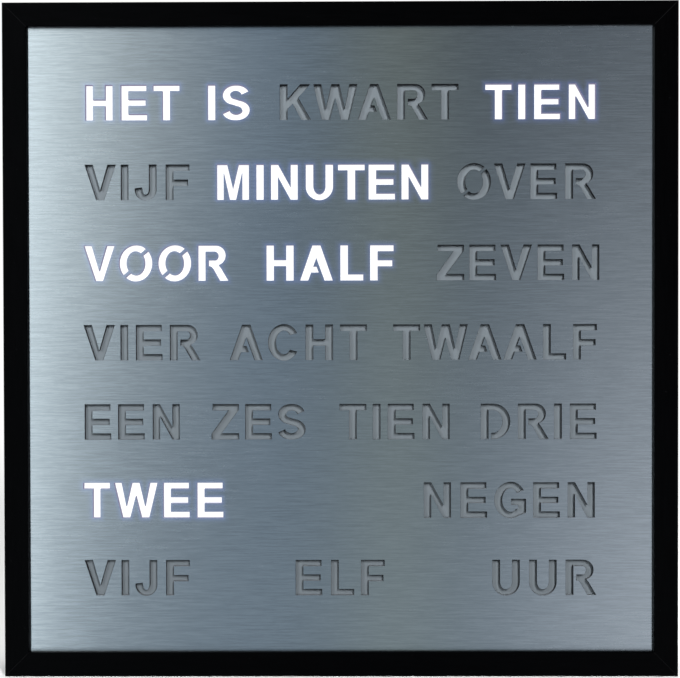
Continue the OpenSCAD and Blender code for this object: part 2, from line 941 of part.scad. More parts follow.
// Tapered rubber feet that keep the clock off the wall
module wall_bumpers() {
    taper = 1;
    color("#3a3c40")
        for (x = [-1, 1], z = [-1, 1])
            translate([x * (frame_w / 2 - rail_mid), y_at(frame_depth), mid_z + z * (frame_w / 2 - bumper_in)])
                rotate([-90, 0, 0])
                    cylinder(h = bumper_t, r1 = bumper_r, r2 = bumper_r - taper);
}

bottom_rail();
side_rail(1);  // left_rail
top_rail();
side_rail(3);  // right_rail
mitre_splines();
face_plate();
diffuser();
light_baffle();
strip_ribbons();
strip_board();
bottom_batten();
plain_batten(1);  // left_batten
plain_batten(2);  // top_batten
plain_batten(3);  // right_batten
controller_board();
controller_chips();
backup_cell();
cell_holder();
screw_terminals();
strip_plug();
capacitor();
board_spacers();
board_screws();
power_socket();
power_socket_nut();
power_lead();
strip_lead();
button_lead();
back_panel();
set_button_barrels();
set_button_nuts();
hour_button();
minute_button();
turn_button_screws();
hanger_plates();
hanger_screws();
wall_bumpers();
for (i = [1:ROWS])
    light_strip(i - 1);
for (i = [1:TURN_BUTTONS])
    turn_button(i - 1);
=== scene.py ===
"""The looks of a wall clock that tells the time in lit words.

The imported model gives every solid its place. This script cuts the words into the steel face, makes the opal
sheet behind them glow where a word is lit, eases the edges of the fittings on the back, and gives each piece
its finish. All lengths are in metres unless a name ends in _mm.
"""

import json
import logging
import math
from dataclasses import dataclass, field
from enum import Enum

import bmesh
import bpy
import numpy as np
from mathutils import Matrix, Vector
from mathutils.geometry import delaunay_2d_cdt


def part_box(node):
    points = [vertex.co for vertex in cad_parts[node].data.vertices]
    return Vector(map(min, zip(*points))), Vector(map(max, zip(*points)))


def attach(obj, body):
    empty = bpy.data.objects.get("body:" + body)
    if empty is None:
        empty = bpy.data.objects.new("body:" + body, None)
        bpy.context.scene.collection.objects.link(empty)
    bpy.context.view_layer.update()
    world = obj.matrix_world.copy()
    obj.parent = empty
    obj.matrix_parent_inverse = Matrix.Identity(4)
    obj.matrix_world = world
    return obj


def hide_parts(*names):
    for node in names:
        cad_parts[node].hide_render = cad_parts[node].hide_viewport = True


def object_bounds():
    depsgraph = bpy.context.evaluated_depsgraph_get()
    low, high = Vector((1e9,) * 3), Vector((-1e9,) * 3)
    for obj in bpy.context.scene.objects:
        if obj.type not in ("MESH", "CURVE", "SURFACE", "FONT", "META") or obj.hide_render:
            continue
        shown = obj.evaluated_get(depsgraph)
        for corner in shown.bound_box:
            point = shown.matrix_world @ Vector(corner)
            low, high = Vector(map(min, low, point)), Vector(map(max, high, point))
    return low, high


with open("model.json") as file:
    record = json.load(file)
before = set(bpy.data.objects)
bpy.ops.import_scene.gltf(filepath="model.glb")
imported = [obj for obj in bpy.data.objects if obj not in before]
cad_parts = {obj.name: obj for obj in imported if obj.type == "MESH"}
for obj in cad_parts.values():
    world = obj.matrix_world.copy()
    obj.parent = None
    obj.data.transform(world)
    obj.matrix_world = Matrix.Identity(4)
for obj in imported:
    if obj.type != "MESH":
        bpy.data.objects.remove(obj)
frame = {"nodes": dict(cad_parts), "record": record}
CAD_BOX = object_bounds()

LOG = logging.getLogger("word_clock")
MM = 0.001
MID_Z = (CAD_BOX[0][2] + CAD_BOX[1][2]) / 2
WELD = 0.002 * MM

Colour = tuple[float, float, float]
Place = tuple[float, float, float]
Point = tuple[float, float]
Strokes = list[list[Point]]
Loop = np.ndarray
Socket = bpy.types.NodeSocket
Node = bpy.types.Node
Material = bpy.types.Material

WHITE: Colour = (1.0, 1.0, 1.0)
# How much rougher the dullest spots of a board or a moulding are than its shiniest.
DULLER = 0.12


def shaded(colour: Colour, share: float) -> Colour:
    """Returns a colour, or any three numbers, times a share."""
    return tuple(part * share for part in colour)


class Light(Enum):
    """Whether the lamps behind a word are on."""

    ON = "on"
    OFF = "off"


class Along(Enum):
    """The axis that a grain runs along, as the stretch of a pattern in X, Y and Z."""

    X = (0.05, 1.0, 1.0)
    Z = (1.0, 1.0, 0.05)

    def cells(self, across: float) -> Place:
        """Returns the cells of a pattern in a metre of each axis, from their number across the grain."""
        return shaded(self.value, across)


# ---------------------------------------------------------------- Node trees


class Wiring:
    """A node tree in the making, with one short method for each kind of node that is used often."""

    def __init__(self, tree: bpy.types.NodeTree) -> None:
        """Starts with an empty tree."""
        self.tree = tree
        self.tree.nodes.clear()

    def node(self, kind: str) -> Node:
        """Adds a shader node of a kind and returns it."""
        return self.tree.nodes.new(f"ShaderNode{kind}")

    def feed(self, socket: Socket, value: object) -> None:
        """Links a socket to another, or sets its own value.

        Args:
            socket: The input to feed.
            value: An output socket, a number or a colour.
        """
        if isinstance(value, Socket):
            self.tree.links.new(value, socket)
        elif isinstance(value, tuple) and socket.type == "RGBA":
            socket.default_value = (*value, 1.0)
        else:
            socket.default_value = value

    def fed(self, kind: str, *values: object) -> Node:
        """Adds a node, feeds its inputs in their order and returns it.

        Args:
            kind: The kind of node.
            values: What goes into its first inputs.

        Returns:
            The new node.
        """
        node = self.node(kind)
        for socket, value in zip(node.inputs, values):
            self.feed(socket, value)
        return node

    def fill(self, node: Node, **values: object) -> Node:
        """Feeds a node's inputs by their names and returns it.

        Args:
            node: The node.
            values: What goes into each input, whose name has _ for each space.

        Returns:
            The same node.
        """
        for name, value in values.items():
            self.feed(node.inputs[name.replace("_", " ")], value)
        return node

    def math(self, operation: str, a: object, b: object = 0.0) -> Socket:
        """Returns the result of a Math node.

        Args:
            operation: What the node does.
            a: Its first value.
            b: Its second value, where it takes two.

        Returns:
            The node's output.
        """
        node = self.fed("Math", a, b)
        node.operation = operation
        return node.outputs[0]

    def times(self, a: object, b: object) -> Socket:
        """Returns the product of two values."""
        return self.math("MULTIPLY", a, b)

    def axes(self, vector: Socket) -> tuple[Socket, ...]:
        """Returns a vector's X, Y and Z."""
        return tuple(self.fed("SeparateXYZ", vector).outputs)

    def span(self, value: object, low: float, high: float, to_low: float = 0.0,
             to_high: float = 1.0) -> Socket:
        """Returns a value moved smoothly from one range to another and kept inside it.

        Args:
            value: The value.
            low: Lower end of its own range.
            high: Upper end of its own range.
            to_low: What the lower end becomes.
            to_high: What the upper end becomes.

        Returns:
            The moved value.
        """
        node = self.fed("MapRange", value, low, high, to_low, to_high)
        node.interpolation_type = "SMOOTHSTEP"
        return node.outputs[0]


class Sketch(Wiring):
    """A material in the making: a Principled shader, and patterns laid out in the piece's own metres."""

    def __init__(self, name: str) -> None:
        """Starts a material of that name."""
        self.material = bpy.data.materials.new(name)
        self.material.use_nodes = True
        super().__init__(self.material.node_tree)
        self.output = self.node("OutputMaterial")
        self.shader = self.node("BsdfPrincipled")
        self.feed(self.output.inputs[0], self.shader.outputs[0])
        self.place = self.node("TexCoord").outputs["Object"]

    def set(self, **values: object) -> None:
        """Feeds the Principled shader's inputs, whose names have _ for each space."""
        self.fill(self.shader, **values)

    def stretched(self, scale: Place | float) -> Socket:
        """Returns the object's own coordinates times a scale for each axis, or times one number."""
        node = self.fed("Mapping", self.place)
        node.inputs["Scale"].default_value = scale if isinstance(scale, tuple) else (scale,) * 3
        return node.outputs[0]

    def noise(self, scale: Place | float, detail: float = 3.0, rough: float = 0.5,
              warp: float = 0.0) -> Socket:
        """Returns a cloud pattern from 0 to 1.

        Args:
            scale: How many cells fit in a metre along X, Y and Z.
            detail: How many finer layers are added.
            rough: How strong the finer layers are.
            warp: How much the pattern is bent.

        Returns:
            The pattern.
        """
        node = self.fill(self.node("TexNoise"), Vector=self.stretched(scale), Scale=1.0, Detail=detail,
                         Roughness=rough, Distortion=warp)
        return node.outputs[0]

    def spots(self, scale: float) -> Socket:
        """Returns the distance to the nearest of many scattered points."""
        node = self.fill(self.node("TexVoronoi"), Vector=self.stretched(scale), Scale=1.0)
        return node.outputs["Distance"]

    def blend(self, share: object, first: object, second: object) -> Socket:
        """Returns a colour between two.

        Args:
            share: How much of the second colour there is, from 0 to 1.
            first: The first colour.
            second: The second colour.

        Returns:
            The blended colour.
        """
        node = self.node("Mix")
        node.data_type = "RGBA"
        factor, a, b, result = 0, 6, 7, 2
        for slot, value in ((factor, share), (a, first), (b, second)):
            self.feed(node.inputs[slot], value)
        return node.outputs[result]

    def relief(self, height: object, depth: float, strength: float = 1.0,
               under: Socket | None = None) -> Socket:
        """Returns a normal that a height pattern has moved.

        Args:
            height: The pattern, from 0 to 1.
            depth: What a height of 1 stands for, in metres.
            strength: How much of it is used.
            under: A normal that is moved already.

        Returns:
            The moved normal.
        """
        node = self.fill(self.node("Bump"), Strength=strength, Distance=depth, Height=height)
        if under is not None:
            self.feed(node.inputs["Normal"], under)
        return node.outputs[0]

    def mark(self, name: str) -> Socket:
        """Returns a number that the mesh carries at its points."""
        node = self.node("Attribute")
        node.attribute_name = name
        return node.outputs["Fac"]


# ---------------------------------------------------------------- Finishes


@dataclass(frozen=True)
class PaintedWood:
    """Black paint over a moulding, with the grain just showing, dust in the paint and fine mitre lines."""

    grain: Along
    colour: Colour = (0.0003, 0.0003, 0.0004)
    worn: Colour = (0.0008, 0.0008, 0.0010)
    dusty: Colour = (0.03, 0.03, 0.032)
    # Painted highlight: the paler colour along the mitre joints.
    seam_highlight: Colour = (0.012, 0.012, 0.013)
    dust_share: float = 0.35
    seam_share: float = 0.5

    def material(self) -> Material:
        """Returns the paint, whose grain follows the rail.

        A mitre lies where a point is as far from the middle sideways as up or down.
        """
        ink = Sketch(f"black_paint_{self.grain.name.lower()}")
        grain = ink.noise(self.grain.cells(900), 4.0, 0.6, 0.4)
        pores = ink.noise(self.grain.cells(2600), 2.0, 0.5)
        dust_and_top_light = ink.span(ink.spots(150.0), 0.03, 0.07, 1.0, 0.0)
        x, _, z = ink.axes(ink.place)
        rise = ink.math("ABSOLUTE", ink.math("SUBTRACT", z, MID_Z))
        off_mitre = ink.math("ABSOLUTE", ink.math("SUBTRACT", ink.math("ABSOLUTE", x), rise))
        seam = ink.span(off_mitre, 0.0001, 0.0004, 1.0, 0.0)
        tone = ink.blend(ink.span(grain, 0.3, 0.8), self.colour, self.worn)
        tone = ink.blend(ink.times(dust_and_top_light, self.dust_share), tone, self.dusty)
        # Painted highlight along the mitre joints.
        tone = ink.blend(ink.times(seam, self.seam_share), tone, self.seam_highlight)
        body = ink.relief(grain, 0.00012, 0.22)
        body = ink.relief(pores, 0.00004, 0.25, body)
        body = ink.relief(ink.math("SUBTRACT", 1.0, seam), 0.0003, 0.8, body)
        ink.set(Base_Color=tone, Roughness=ink.span(pores, 0.2, 0.8, 0.34, 0.46), Normal=body)
        ink.set(Specular_IOR_Level=0.03)
        return ink.material


@dataclass(frozen=True)
class BrushedSteel:
    """Steel brushed from side to side. Its lines run along X, so its highlights are drawn out along Z."""

    colour: Colour = (0.61, 0.635, 0.65)
    dull: Colour = (0.505, 0.53, 0.545)
    # Painted glow: a blue light that the steel itself emits round the rims of lit words.
    spill: Colour = (0.17, 0.26, 0.90)
    painted_glow_strength: float = 0.17

    def material(self) -> Material:
        """Returns the steel, which a point value of the plate makes emit a painted glow round lit words."""
        ink = Sketch("face_steel_brushed")
        hair = ink.noise((42.0, 40.0, 950.0), 2.0, 0.5)
        fleck = ink.noise((210.0, 40.0, 1300.0), 2.0, 0.5)
        streak = ink.noise((12.0, 10.0, 480.0), 2.0, 0.5)
        cloud = ink.noise((7.0, 7.0, 11.0), 2.0, 0.5)
        drawn = ink.math("ADD", ink.times(hair, 0.62), ink.times(streak, 0.08))
        lines = ink.math("ADD", drawn, ink.times(fleck, 0.3))
        tone = ink.blend(ink.span(lines, 0.33, 0.67), self.dull, self.colour)
        ink.set(Base_Color=tone, Metallic=1.0, Anisotropic=0.95)
        smear = ink.span(lines, 0.28, 0.72, 0.257, 0.273)
        ink.set(Roughness=ink.math("ADD", smear, ink.span(cloud, 0.3, 0.7, -0.004, 0.004)))
        ink.set(Normal=ink.relief(lines, 0.00001, 0.05))
        grain = ink.node("Tangent")
        grain.direction_type = "UV_MAP"
        grain.uv_map = "grain"
        ink.set(Tangent=grain.outputs[0])
        # Painted glow, strongest at the rims of lit words.
        shed = ink.times(ink.math("POWER", ink.mark("spill"), 1.6), self.painted_glow_strength)
        ink.set(Emission_Color=self.spill, Emission_Strength=shed)
        return ink.material


@dataclass(frozen=True)
class CutSteel:
    """The walls of the openings: heat tint with painted shade, and a painted glow where the lamps are on."""

    # Heat tint of the cut, made darker as painted shade: the shade in the openings and on their chamfers.
    colour: Colour = (0.045, 0.048, 0.054)
    # Painted light from above, with some dust: the paler colour of the walls that face up.
    dust_and_top_light: Colour = (0.15, 0.165, 0.18)
    # Painted glow: a lilac light that the walls emit next to lit words.
    spill: Colour = (0.50, 0.46, 0.72)
    painted_glow_strength: float = 0.4

    def material(self) -> Material:
        """Returns the steel, with the cut's fine lines, and painted top light and dust on the walls that look
        up.
        """
        ink = Sketch("face_steel_cut_edge")
        lines = ink.noise((2400.0, 90.0, 2400.0), 3.0, 0.6)
        tone = ink.blend(ink.span(lines, 0.3, 0.7), shaded(self.colour, 0.6), self.colour)
        # Painted light from above: the more a wall faces up, the paler it is painted.
        facing = ink.node("NewGeometry").outputs["Normal"]
        painted_top_light = ink.span(ink.axes(facing)[2], 0.4, 0.9)
        ink.set(Base_Color=ink.blend(painted_top_light, tone, self.dust_and_top_light), Roughness=0.7, Specular_IOR_Level=0.05)
        ink.set(Normal=ink.relief(lines, 0.00003, 0.4))
        # Painted glow on the walls of the lit words' openings.
        lit = ink.span(ink.mark("spill"), 0.85, 1.0)
        ink.set(Emission_Color=self.spill, Emission_Strength=ink.times(lit, self.painted_glow_strength))
        return ink.material


@dataclass(frozen=True)
class OpalAcrylic:
    """A milky sheet that is grey where it is dark behind it and white where lamps are on."""

    colour: Colour = (0.179, 0.205, 0.226)

    def material(self) -> Material:
        """Returns the sheet's material. The point value `glow` says where the lamps are on."""
        ink = Sketch("opal_acrylic_sheet")
        milk = ink.noise(60.0, 3.0, 0.5)
        haze = ink.noise(900.0, 2.0, 0.5)
        ink.set(Base_Color=ink.blend(ink.span(milk, 0.3, 0.7), shaded(self.colour, 0.92), self.colour))
        ink.set(Roughness=ink.span(haze, 0.2, 0.8, 0.3, 0.4), IOR=1.49, Specular_IOR_Level=0.3)
        ink.set(Normal=ink.relief(haze, 0.00002, 0.15))
        ink.set(Emission_Color=WHITE, Emission_Strength=ink.mark("glow"))
        return ink.material


@dataclass(frozen=True)
class BareWood:
    """Planed softwood or plywood, with growth rings drawn out along its length."""

    name: str
    grain: Along
    light: Colour = (0.60, 0.42, 0.23)
    dark: Colour = (0.42, 0.25, 0.11)

    def material(self) -> Material:
        """Returns the wood."""
        ink = Sketch(f"{self.name}_{self.grain.name.lower()}")
        rings = ink.noise(self.grain.cells(180), 3.0, 0.5, 1.2)
        fibre = ink.noise(self.grain.cells(2200), 3.0, 0.6)
        tone = ink.blend(ink.span(rings, 0.35, 0.65), self.light, self.dark)
        tone = ink.blend(ink.span(fibre, 0.3, 0.8, 0.0, 0.35), tone, self.dark)
        ink.set(Base_Color=tone, Roughness=ink.span(fibre, 0.2, 0.8, 0.55, 0.7))
        ink.set(Normal=ink.relief(fibre, 0.00008, 0.4))
        return ink.material


@dataclass(frozen=True)
class PressedBoard:
    """Board of pressed fibres: brown hardboard, or the white faced kind."""

    name: str
    light: Colour
    dark: Colour
    rough: float = 0.5

    def material(self) -> Material:
        """Returns the board, with short fibres lying every way and a slightly mottled face."""
        ink = Sketch(self.name)
        mottle = ink.noise(46.0, 5.0, 0.65)
        fibre_x = ink.noise((180.0, 700.0, 1500.0), 3.0, 0.6, 1.5)
        fibre_z = ink.noise((1500.0, 700.0, 180.0), 3.0, 0.6, 1.5)
        fibres = ink.math("MAXIMUM", fibre_x, fibre_z)
        fleck = ink.span(fibres, 0.56, 0.72)
        tone = ink.blend(ink.span(mottle, 0.3, 0.7), self.dark, self.light)
        tone = ink.blend(ink.times(fleck, 0.4), tone, shaded(self.dark, 0.6))
        ink.set(Base_Color=tone, Roughness=ink.span(mottle, 0.2, 0.8, self.rough, self.rough + DULLER))
        ink.set(Normal=ink.relief(fibres, 0.00008, 0.3), Specular_IOR_Level=0.4)
        return ink.material


@dataclass(frozen=True)
class FoamBoard:
    """Matt black foamed board that keeps the light of one word from the next."""

    colour: Colour = (0.018, 0.018, 0.02)

    def material(self) -> Material:
        """Returns the board, with the fine cells of its cut edges."""
        ink = Sketch("black_foam_board_matt")
        cells = ink.spots(1800.0)
        tone = ink.blend(ink.span(cells, 0.1, 0.6), self.colour, shaded(self.colour, 1.8))
        ink.set(Base_Color=tone, Roughness=0.85)
        ink.set(Normal=ink.relief(cells, 0.0001, 0.5), Specular_IOR_Level=0.2)
        return ink.material


@dataclass(frozen=True)
class CircuitBoard:
    """Green solder mask over copper tracks that run in steps."""

    mask: Colour = (0.010, 0.085, 0.040)
    track: Colour = (0.022, 0.150, 0.072)
    tracks_per_metre: float = 260.0

    def material(self) -> Material:
        """Returns the board, whose tracks stand a little proud and are laid out over X and Z."""
        ink = Sketch("circuit_board_green")
        x, _, z = ink.axes(ink.place)
        across, up = (ink.times(way, self.tracks_per_metre) for way in (x, z))
        laid = ink.fed("CombineXYZ", across, up).outputs[0]
        tracks = ink.fill(ink.node("TexBrick"), Vector=laid, Scale=1.0, Mortar_Size=0.12).outputs["Fac"]
        ink.set(Base_Color=ink.blend(tracks, self.mask, self.track), Roughness=0.32)
        ink.set(Normal=ink.relief(tracks, 0.00005, 0.5), Coat_Weight=0.3, Coat_Roughness=0.2)
        return ink.material


@dataclass(frozen=True)
class Moulded:
    """Moulded plastic or rubber with a fine spark texture."""

    name: str
    colour: Colour
    rough: float = 0.4
    texture: float = 0.3
    gloss: float = 0.5

    def material(self) -> Material:
        """Returns the plastic, a little paler where it is rubbed."""
        ink = Sketch(self.name)
        spark = ink.noise(2600.0, 2.0, 0.6)
        rub = ink.noise(140.0, 4.0, 0.6)
        paler, lift = 1.35, 0.008
        pale = tuple(min(1.0, part * paler + lift) for part in self.colour)
        ink.set(Base_Color=ink.blend(ink.span(rub, 0.45, 0.75), self.colour, pale))
        ink.set(Roughness=ink.span(rub, 0.2, 0.8, self.rough, self.rough + DULLER))
        ink.set(Normal=ink.relief(spark, 0.00004, self.texture), Specular_IOR_Level=self.gloss)
        return ink.material


@dataclass(frozen=True)
class PlatedMetal:
    """Bright plating over pressed metal, with tool lines and a little tarnish."""

    name: str
    bright: Colour
    tarnish: Colour

    def material(self) -> Material:
        """Returns the metal."""
        ink = Sketch(self.name)
        cloud = ink.noise(260.0, 4.0, 0.65, 0.5)
        lines = ink.noise((500.0, 500.0, 4200.0), 2.0, 0.5)
        tone = ink.blend(ink.span(cloud, 0.5, 0.8), self.bright, self.tarnish)
        ink.set(Base_Color=tone, Metallic=1.0, Roughness=ink.span(cloud, 0.2, 0.8, 0.24, 0.42))
        ink.set(Normal=ink.relief(lines, 0.00003, 0.3))
        return ink.material


# ---------------------------------------------------------------- Letterforms


def arc(centre: Point, radii: Point, start: float, stop: float, steps: int) -> list[Point]:
    """Lays points on an ellipse: centre plus each radius times the cosine and the sine of a turning angle.

    Args:
        centre: Middle of the ellipse.
        radii: Its half width and half height.
        start: First angle in degrees, anticlockwise from the right.
        stop: Last angle in degrees.
        steps: Number of straight pieces.

    Returns:
        The points, one more than there are pieces.
    """
    turn = np.radians(np.linspace(start, stop, steps + 1))
    points = np.array(centre) + np.array(radii) * np.stack([np.cos(turn), np.sin(turn)], 1)
    return [tuple(p) for p in points]


@dataclass(frozen=True)
class Stencil:
    """Plain upright capitals for cutting into sheet metal, drawn from their lower left corner.

    Where a letter has an eye, a bridge of metal `tie` wide runs through a stroke and holds it. Round letters
    go past the straight ones by `overshoot` at the top and the foot. The drawing's units become millimetres
    by `scale`.
    """

    height: float = 26.4
    stem: float = 5.6
    bar: float = 4.5
    tie: float = 2.3
    overshoot: float = 0.4
    steps: int = 9
    scale: float = 0.99

    @property
    def cap_mm(self) -> float:
        """Height of a capital in millimetres."""
        return self.height * self.scale

    def outlines(self, letter: str) -> list[Loop]:
        """Returns the closed outlines of a letter's openings in millimetres, each anticlockwise."""
        drawn = getattr(self, f"_{letter.lower()}")()
        loops = [np.array(points, float) * self.scale for points in drawn]
        return [loop if self.turning(loop) > 0 else loop[::-1] for loop in loops]

    @staticmethod
    def turning(loop: Loop) -> float:
        """Returns twice a loop's area, which is above 0 where it runs anticlockwise."""
        after = np.roll(loop, -1, 0)
        return float(np.sum(loop[:, 0] * after[:, 1] - after[:, 0] * loop[:, 1]))

    def _a(self) -> Strokes:
        """Two legs and a crossbar that stops short of the right leg."""
        w, h, foot = 24.5, self.height, 6.1
        lean = 0.362
        low, high = 6.0, 10.4
        peak = (w - 2 * foot) / 2 / lean
        right = w - foot
        return [[(0, 0), (w / 2 - 3, h), (w / 2 + 3, h), (w, 0), (right, 0), (w / 2, peak),
                 (foot + lean * high, high), (right - lean * high - self.tie, high),
                 (right - lean * low - self.tie, low), (foot + lean * low, low), (foot, 0)]]

    def _c(self) -> Strokes:
        """A round stroke that is open at the right."""
        n = 2 * self.steps
        mid, h = (12.0, self.height / 2), self.height / 2 + self.overshoot
        eye = h - self.bar
        outer = arc(mid, (11.2, h), 31, 90, n // 2)[:-1] + arc(mid, (12.0, h), 90, 270, n)[:-1]
        outer += arc(mid, (11.2, h), 270, 329, n // 2)
        inner = arc(mid, (5.5, eye), -38, -90, n // 2)[:-1] + arc(mid, (6.3, eye), 270, 90, n)[:-1]
        return [outer + inner + arc(mid, (5.5, eye), 90, 38, n // 2)]

    def _d(self) -> Strokes:
        """A stem and a bowl, whose lower bar stops short of the stem."""
        w, h, s, b = 21.9, self.height, self.stem, self.bar
        bend = (9.4, h / 2)
        outer = arc(bend, (w - bend[0], h / 2), -90, 90, 2 * self.steps)
        inner = arc(bend, (w - bend[0] - s, h / 2 - b), 90, -90, 2 * self.steps)
        return [[(0, 0), (s, 0), (s, h - b), *inner, (s + self.tie, b), (s + self.tie, 0), *outer, (0, h)]]

    def _e(self) -> Strokes:
        """A stem and three bars."""
        w, h, s, b = 19.7, self.height, self.stem, self.bar
        mid, reach, top = 11.0, w - 1.1, w - 0.5
        return [[(0, 0), (w, 0), (w, b), (s, b), (s, mid), (reach, mid), (reach, mid + b), (s, mid + b),
                 (s, h - b), (top, h - b), (top, h), (0, h)]]

    def _f(self) -> Strokes:
        """A stem and two bars."""
        w, h, s, b = 17.6, self.height, self.stem, self.bar
        mid, reach = 10.6, w - 1.0
        return [[(0, 0), (s, 0), (s, mid), (reach, mid), (reach, mid + b), (s, mid + b), (s, h - b),
                 (w, h - b), (w, h), (0, h)]]

    def _g(self) -> Strokes:
        """A round stroke with a spur and a bar."""
        n = 2 * self.steps
        mid, h, w = (12.5, self.height / 2), self.height / 2 + self.overshoot, 23.6
        eye = h - self.bar
        outer = arc(mid, (11.0, h), 33, 90, n // 2)[:-1] + arc(mid, (12.5, h), 90, 270, n)[:-1]
        outer += arc(mid, (11.0, h), 270, 302, n // 3)
        spur = [(w, 3.6), (w, 14.0), (12.6, 14.0), (12.6, 9.6), (18.1, 9.6), (18.1, 6.5)]
        inner = arc(mid, (5.4, eye), -50, -90, n // 3)[:-1] + arc(mid, (6.8, eye), 270, 90, n)[:-1]
        return [outer + spur + inner + arc(mid, (5.4, eye), 90, 36, n // 2)]

    def _h(self) -> Strokes:
        """Two stems and a bar."""
        w, h, s, b = 20.4, self.height, self.stem, self.bar
        low = 10.9
        return [[(0, 0), (s, 0), (s, low), (w - s, low), (w - s, 0), (w, 0), (w, h), (w - s, h),
                 (w - s, low + b), (s, low + b), (s, h), (0, h)]]

    def _i(self) -> Strokes:
        """One stem."""
        return [[(0, 0), (self.stem, 0), (self.stem, self.height), (0, self.height)]]

    def _j(self) -> Strokes:
        """A stem with a hook to the left."""
        w, s = 16.3, self.stem
        outer = arc((w / 2, 8.1), (w / 2, 8.5), 0, -172, 2 * self.steps)
        inner = arc((w / 2, 8.1), (w / 2 - s, 4.2), -166, 0, 2 * self.steps)
        return [[(w, self.height), *outer, (0.1, 8.6), (5.3, 9.3), *inner, (w - s, self.height)]]

    def _k(self) -> Strokes:
        """A stem and two slanting arms."""
        w, h, s = 23.0, self.height, self.stem
        return [[(0, 0), (s, 0), (s, 8.2), (9.5, 12.3), (16.2, 0), (w, 0), (13.5, 16.5), (w - 0.6, h),
                 (15.3, h), (s, 15.4), (s, h), (0, h)]]

    def _l(self) -> Strokes:
        """A stem and a bar at its foot."""
        w, h, s, b = 17.1, self.height, self.stem, self.bar
        return [[(0, 0), (w, 0), (w, b), (s, b), (s, h), (0, h)]]

    def _m(self) -> Strokes:
        """Two stems with a deep point between them."""
        w, h, s = 24.0, self.height, 5.1
        return [[(0, 0), (s, 0), (s, 20.3), (9.6, 0), (w - 9.6, 0), (w - s, 20.3), (w - s, 0), (w, 0), (w, h),
                 (16.3, h), (w / 2, 8.4), (7.7, h), (0, h)]]

    def _n(self) -> Strokes:
        """Two stems and a slanting stroke."""
        w, h, s = 20.1, self.height, 5.3
        return [[(0, 0), (s, 0), (s, 17.2), (w - s, 0), (w, 0), (w, h), (w - s, h), (w - s, 9.2), (s, h),
                 (0, h)]]

    def _o(self) -> Strokes:
        """A ring in two halves, with a bridge at the upper right and one at the lower left."""
        w, h, side = 25.0, self.height / 2 + self.overshoot, 5.7
        mid = (w / 2, self.height / 2)
        outer_radius, inner_radius = 13.0, 7.9
        wide = math.degrees(self.tie / 2 / outer_radius)
        narrow = math.degrees(self.tie / 2 / inner_radius)
        halves = []
        for bridge in (47, 227):
            after = bridge + 180
            outer = arc(mid, (w / 2, h), bridge + wide, after - wide, 2 * self.steps)
            inner = arc(mid, (w / 2 - side, h - self.bar), after - narrow, bridge + narrow, 2 * self.steps)
            halves.append(outer + inner)
        return halves

    def _r(self) -> Strokes:
        """A stem, a bowl whose lower bar stops short of the stem, and a leg."""
        w, h, s, b = 22.7, self.height, self.stem, self.bar
        low, high = 10.9, 15.3
        eye = (12.6, (high + h - b) / 2)
        inner = arc(eye, (2.6, (h - b - high) / 2), 90, -90, self.steps)
        outer = arc((13.0, 18.9), (7.7, h - 18.9), -70, 90, 2 * self.steps)
        leg = [(9.0, low), (10.2, 10.3), (11.4, 8.8), (16.3, 0), (w, 0), (18.6, 6.9), (17.3, 9.2),
               (15.9, 10.9)]
        return [[(0, 0), (s, 0), (s, h - b), *inner, (s + self.tie, high), (s + self.tie, low), *leg, *outer,
                 (0, h)]]

    def _s(self) -> Strokes:
        """A double bend: two joined arcs for its middle line, widened to both sides by half the stroke."""
        top = arc((10.6, 18.9), (7.1, 5.25), 14, 258, 3 * self.steps)
        foot = arc((10.6, 7.5), (7.6, 5.35), 78, -166, 3 * self.steps)
        line = np.array(top + foot)
        ahead = np.gradient(line, axis=0)
        ahead /= np.linalg.norm(ahead, axis=1)[:, None]
        half_bar, more_upright = 2.2, 0.6
        half = half_bar + more_upright * np.abs(ahead[:, 1])
        aside = np.stack([-ahead[:, 1], ahead[:, 0]], 1) * half[:, None]
        return [[tuple(p) for p in line + aside] + [tuple(p) for p in (line - aside)[::-1]]]

    def _t(self) -> Strokes:
        """A bar on a stem."""
        w, h, b = 19.9, self.height, self.bar
        left, right = (w - self.stem) / 2, (w + self.stem) / 2
        return [[(left, 0), (right, 0), (right, h - b), (w, h - b), (w, h), (0, h), (0, h - b),
                 (left, h - b)]]

    def _u(self) -> Strokes:
        """Two stems joined by a bend."""
        w, h, s = 20.4, self.height, self.stem
        outer = arc((w / 2, 9.8), (w / 2, 10.2), -180, 0, 2 * self.steps)
        inner = arc((w / 2, 10.2), (w / 2 - s, 6.1), 0, -180, 2 * self.steps)
        return [[(0, h), *outer, (w, h), (w - s, h), *inner, (s, h)]]

    def _v(self) -> Strokes:
        """Two strokes that meet at the foot."""
        w, h = 23.2, self.height
        return [[(0, h), (8.7, 0), (w - 8.7, 0), (w, h), (w - 6.0, h), (w / 2, 7.3), (6.0, h)]]

    def _w(self) -> Strokes:
        """Four strokes."""
        w, h = 32.7, self.height
        mid = w / 2
        return [[(0, h), (6.3, 0), (12.1, 0), (mid, 16.4), (w - 12.1, 0), (w - 6.3, 0), (w, h), (w - 5.7, h),
                 (w - 9.3, 8.6), (mid + 2.9, h), (mid - 2.9, h), (9.3, 8.6), (5.7, h)]]

    def _z(self) -> Strokes:
        """Two bars and a slanting stroke."""
        w, h, b = 20.5, self.height, self.bar
        return [[(0, 0), (w, 0), (w, b), (7.2, b), (w - 0.2, h - 4.2), (w - 0.2, h), (0.8, h), (0.8, h - b),
                 (12.8, h - b), (0, 4.2)]]


@dataclass(frozen=True)
class Word:
    """A time word: its letters, the left edge of each from the middle of the face, and its lamps."""

    text: str
    lefts_mm: tuple[float, ...]
    light: Light = Light.OFF


@dataclass(frozen=True)
class Row:
    """A row of words, by the height of its middle above the middle of the face."""

    middle_mm: float
    words: tuple[Word, ...]


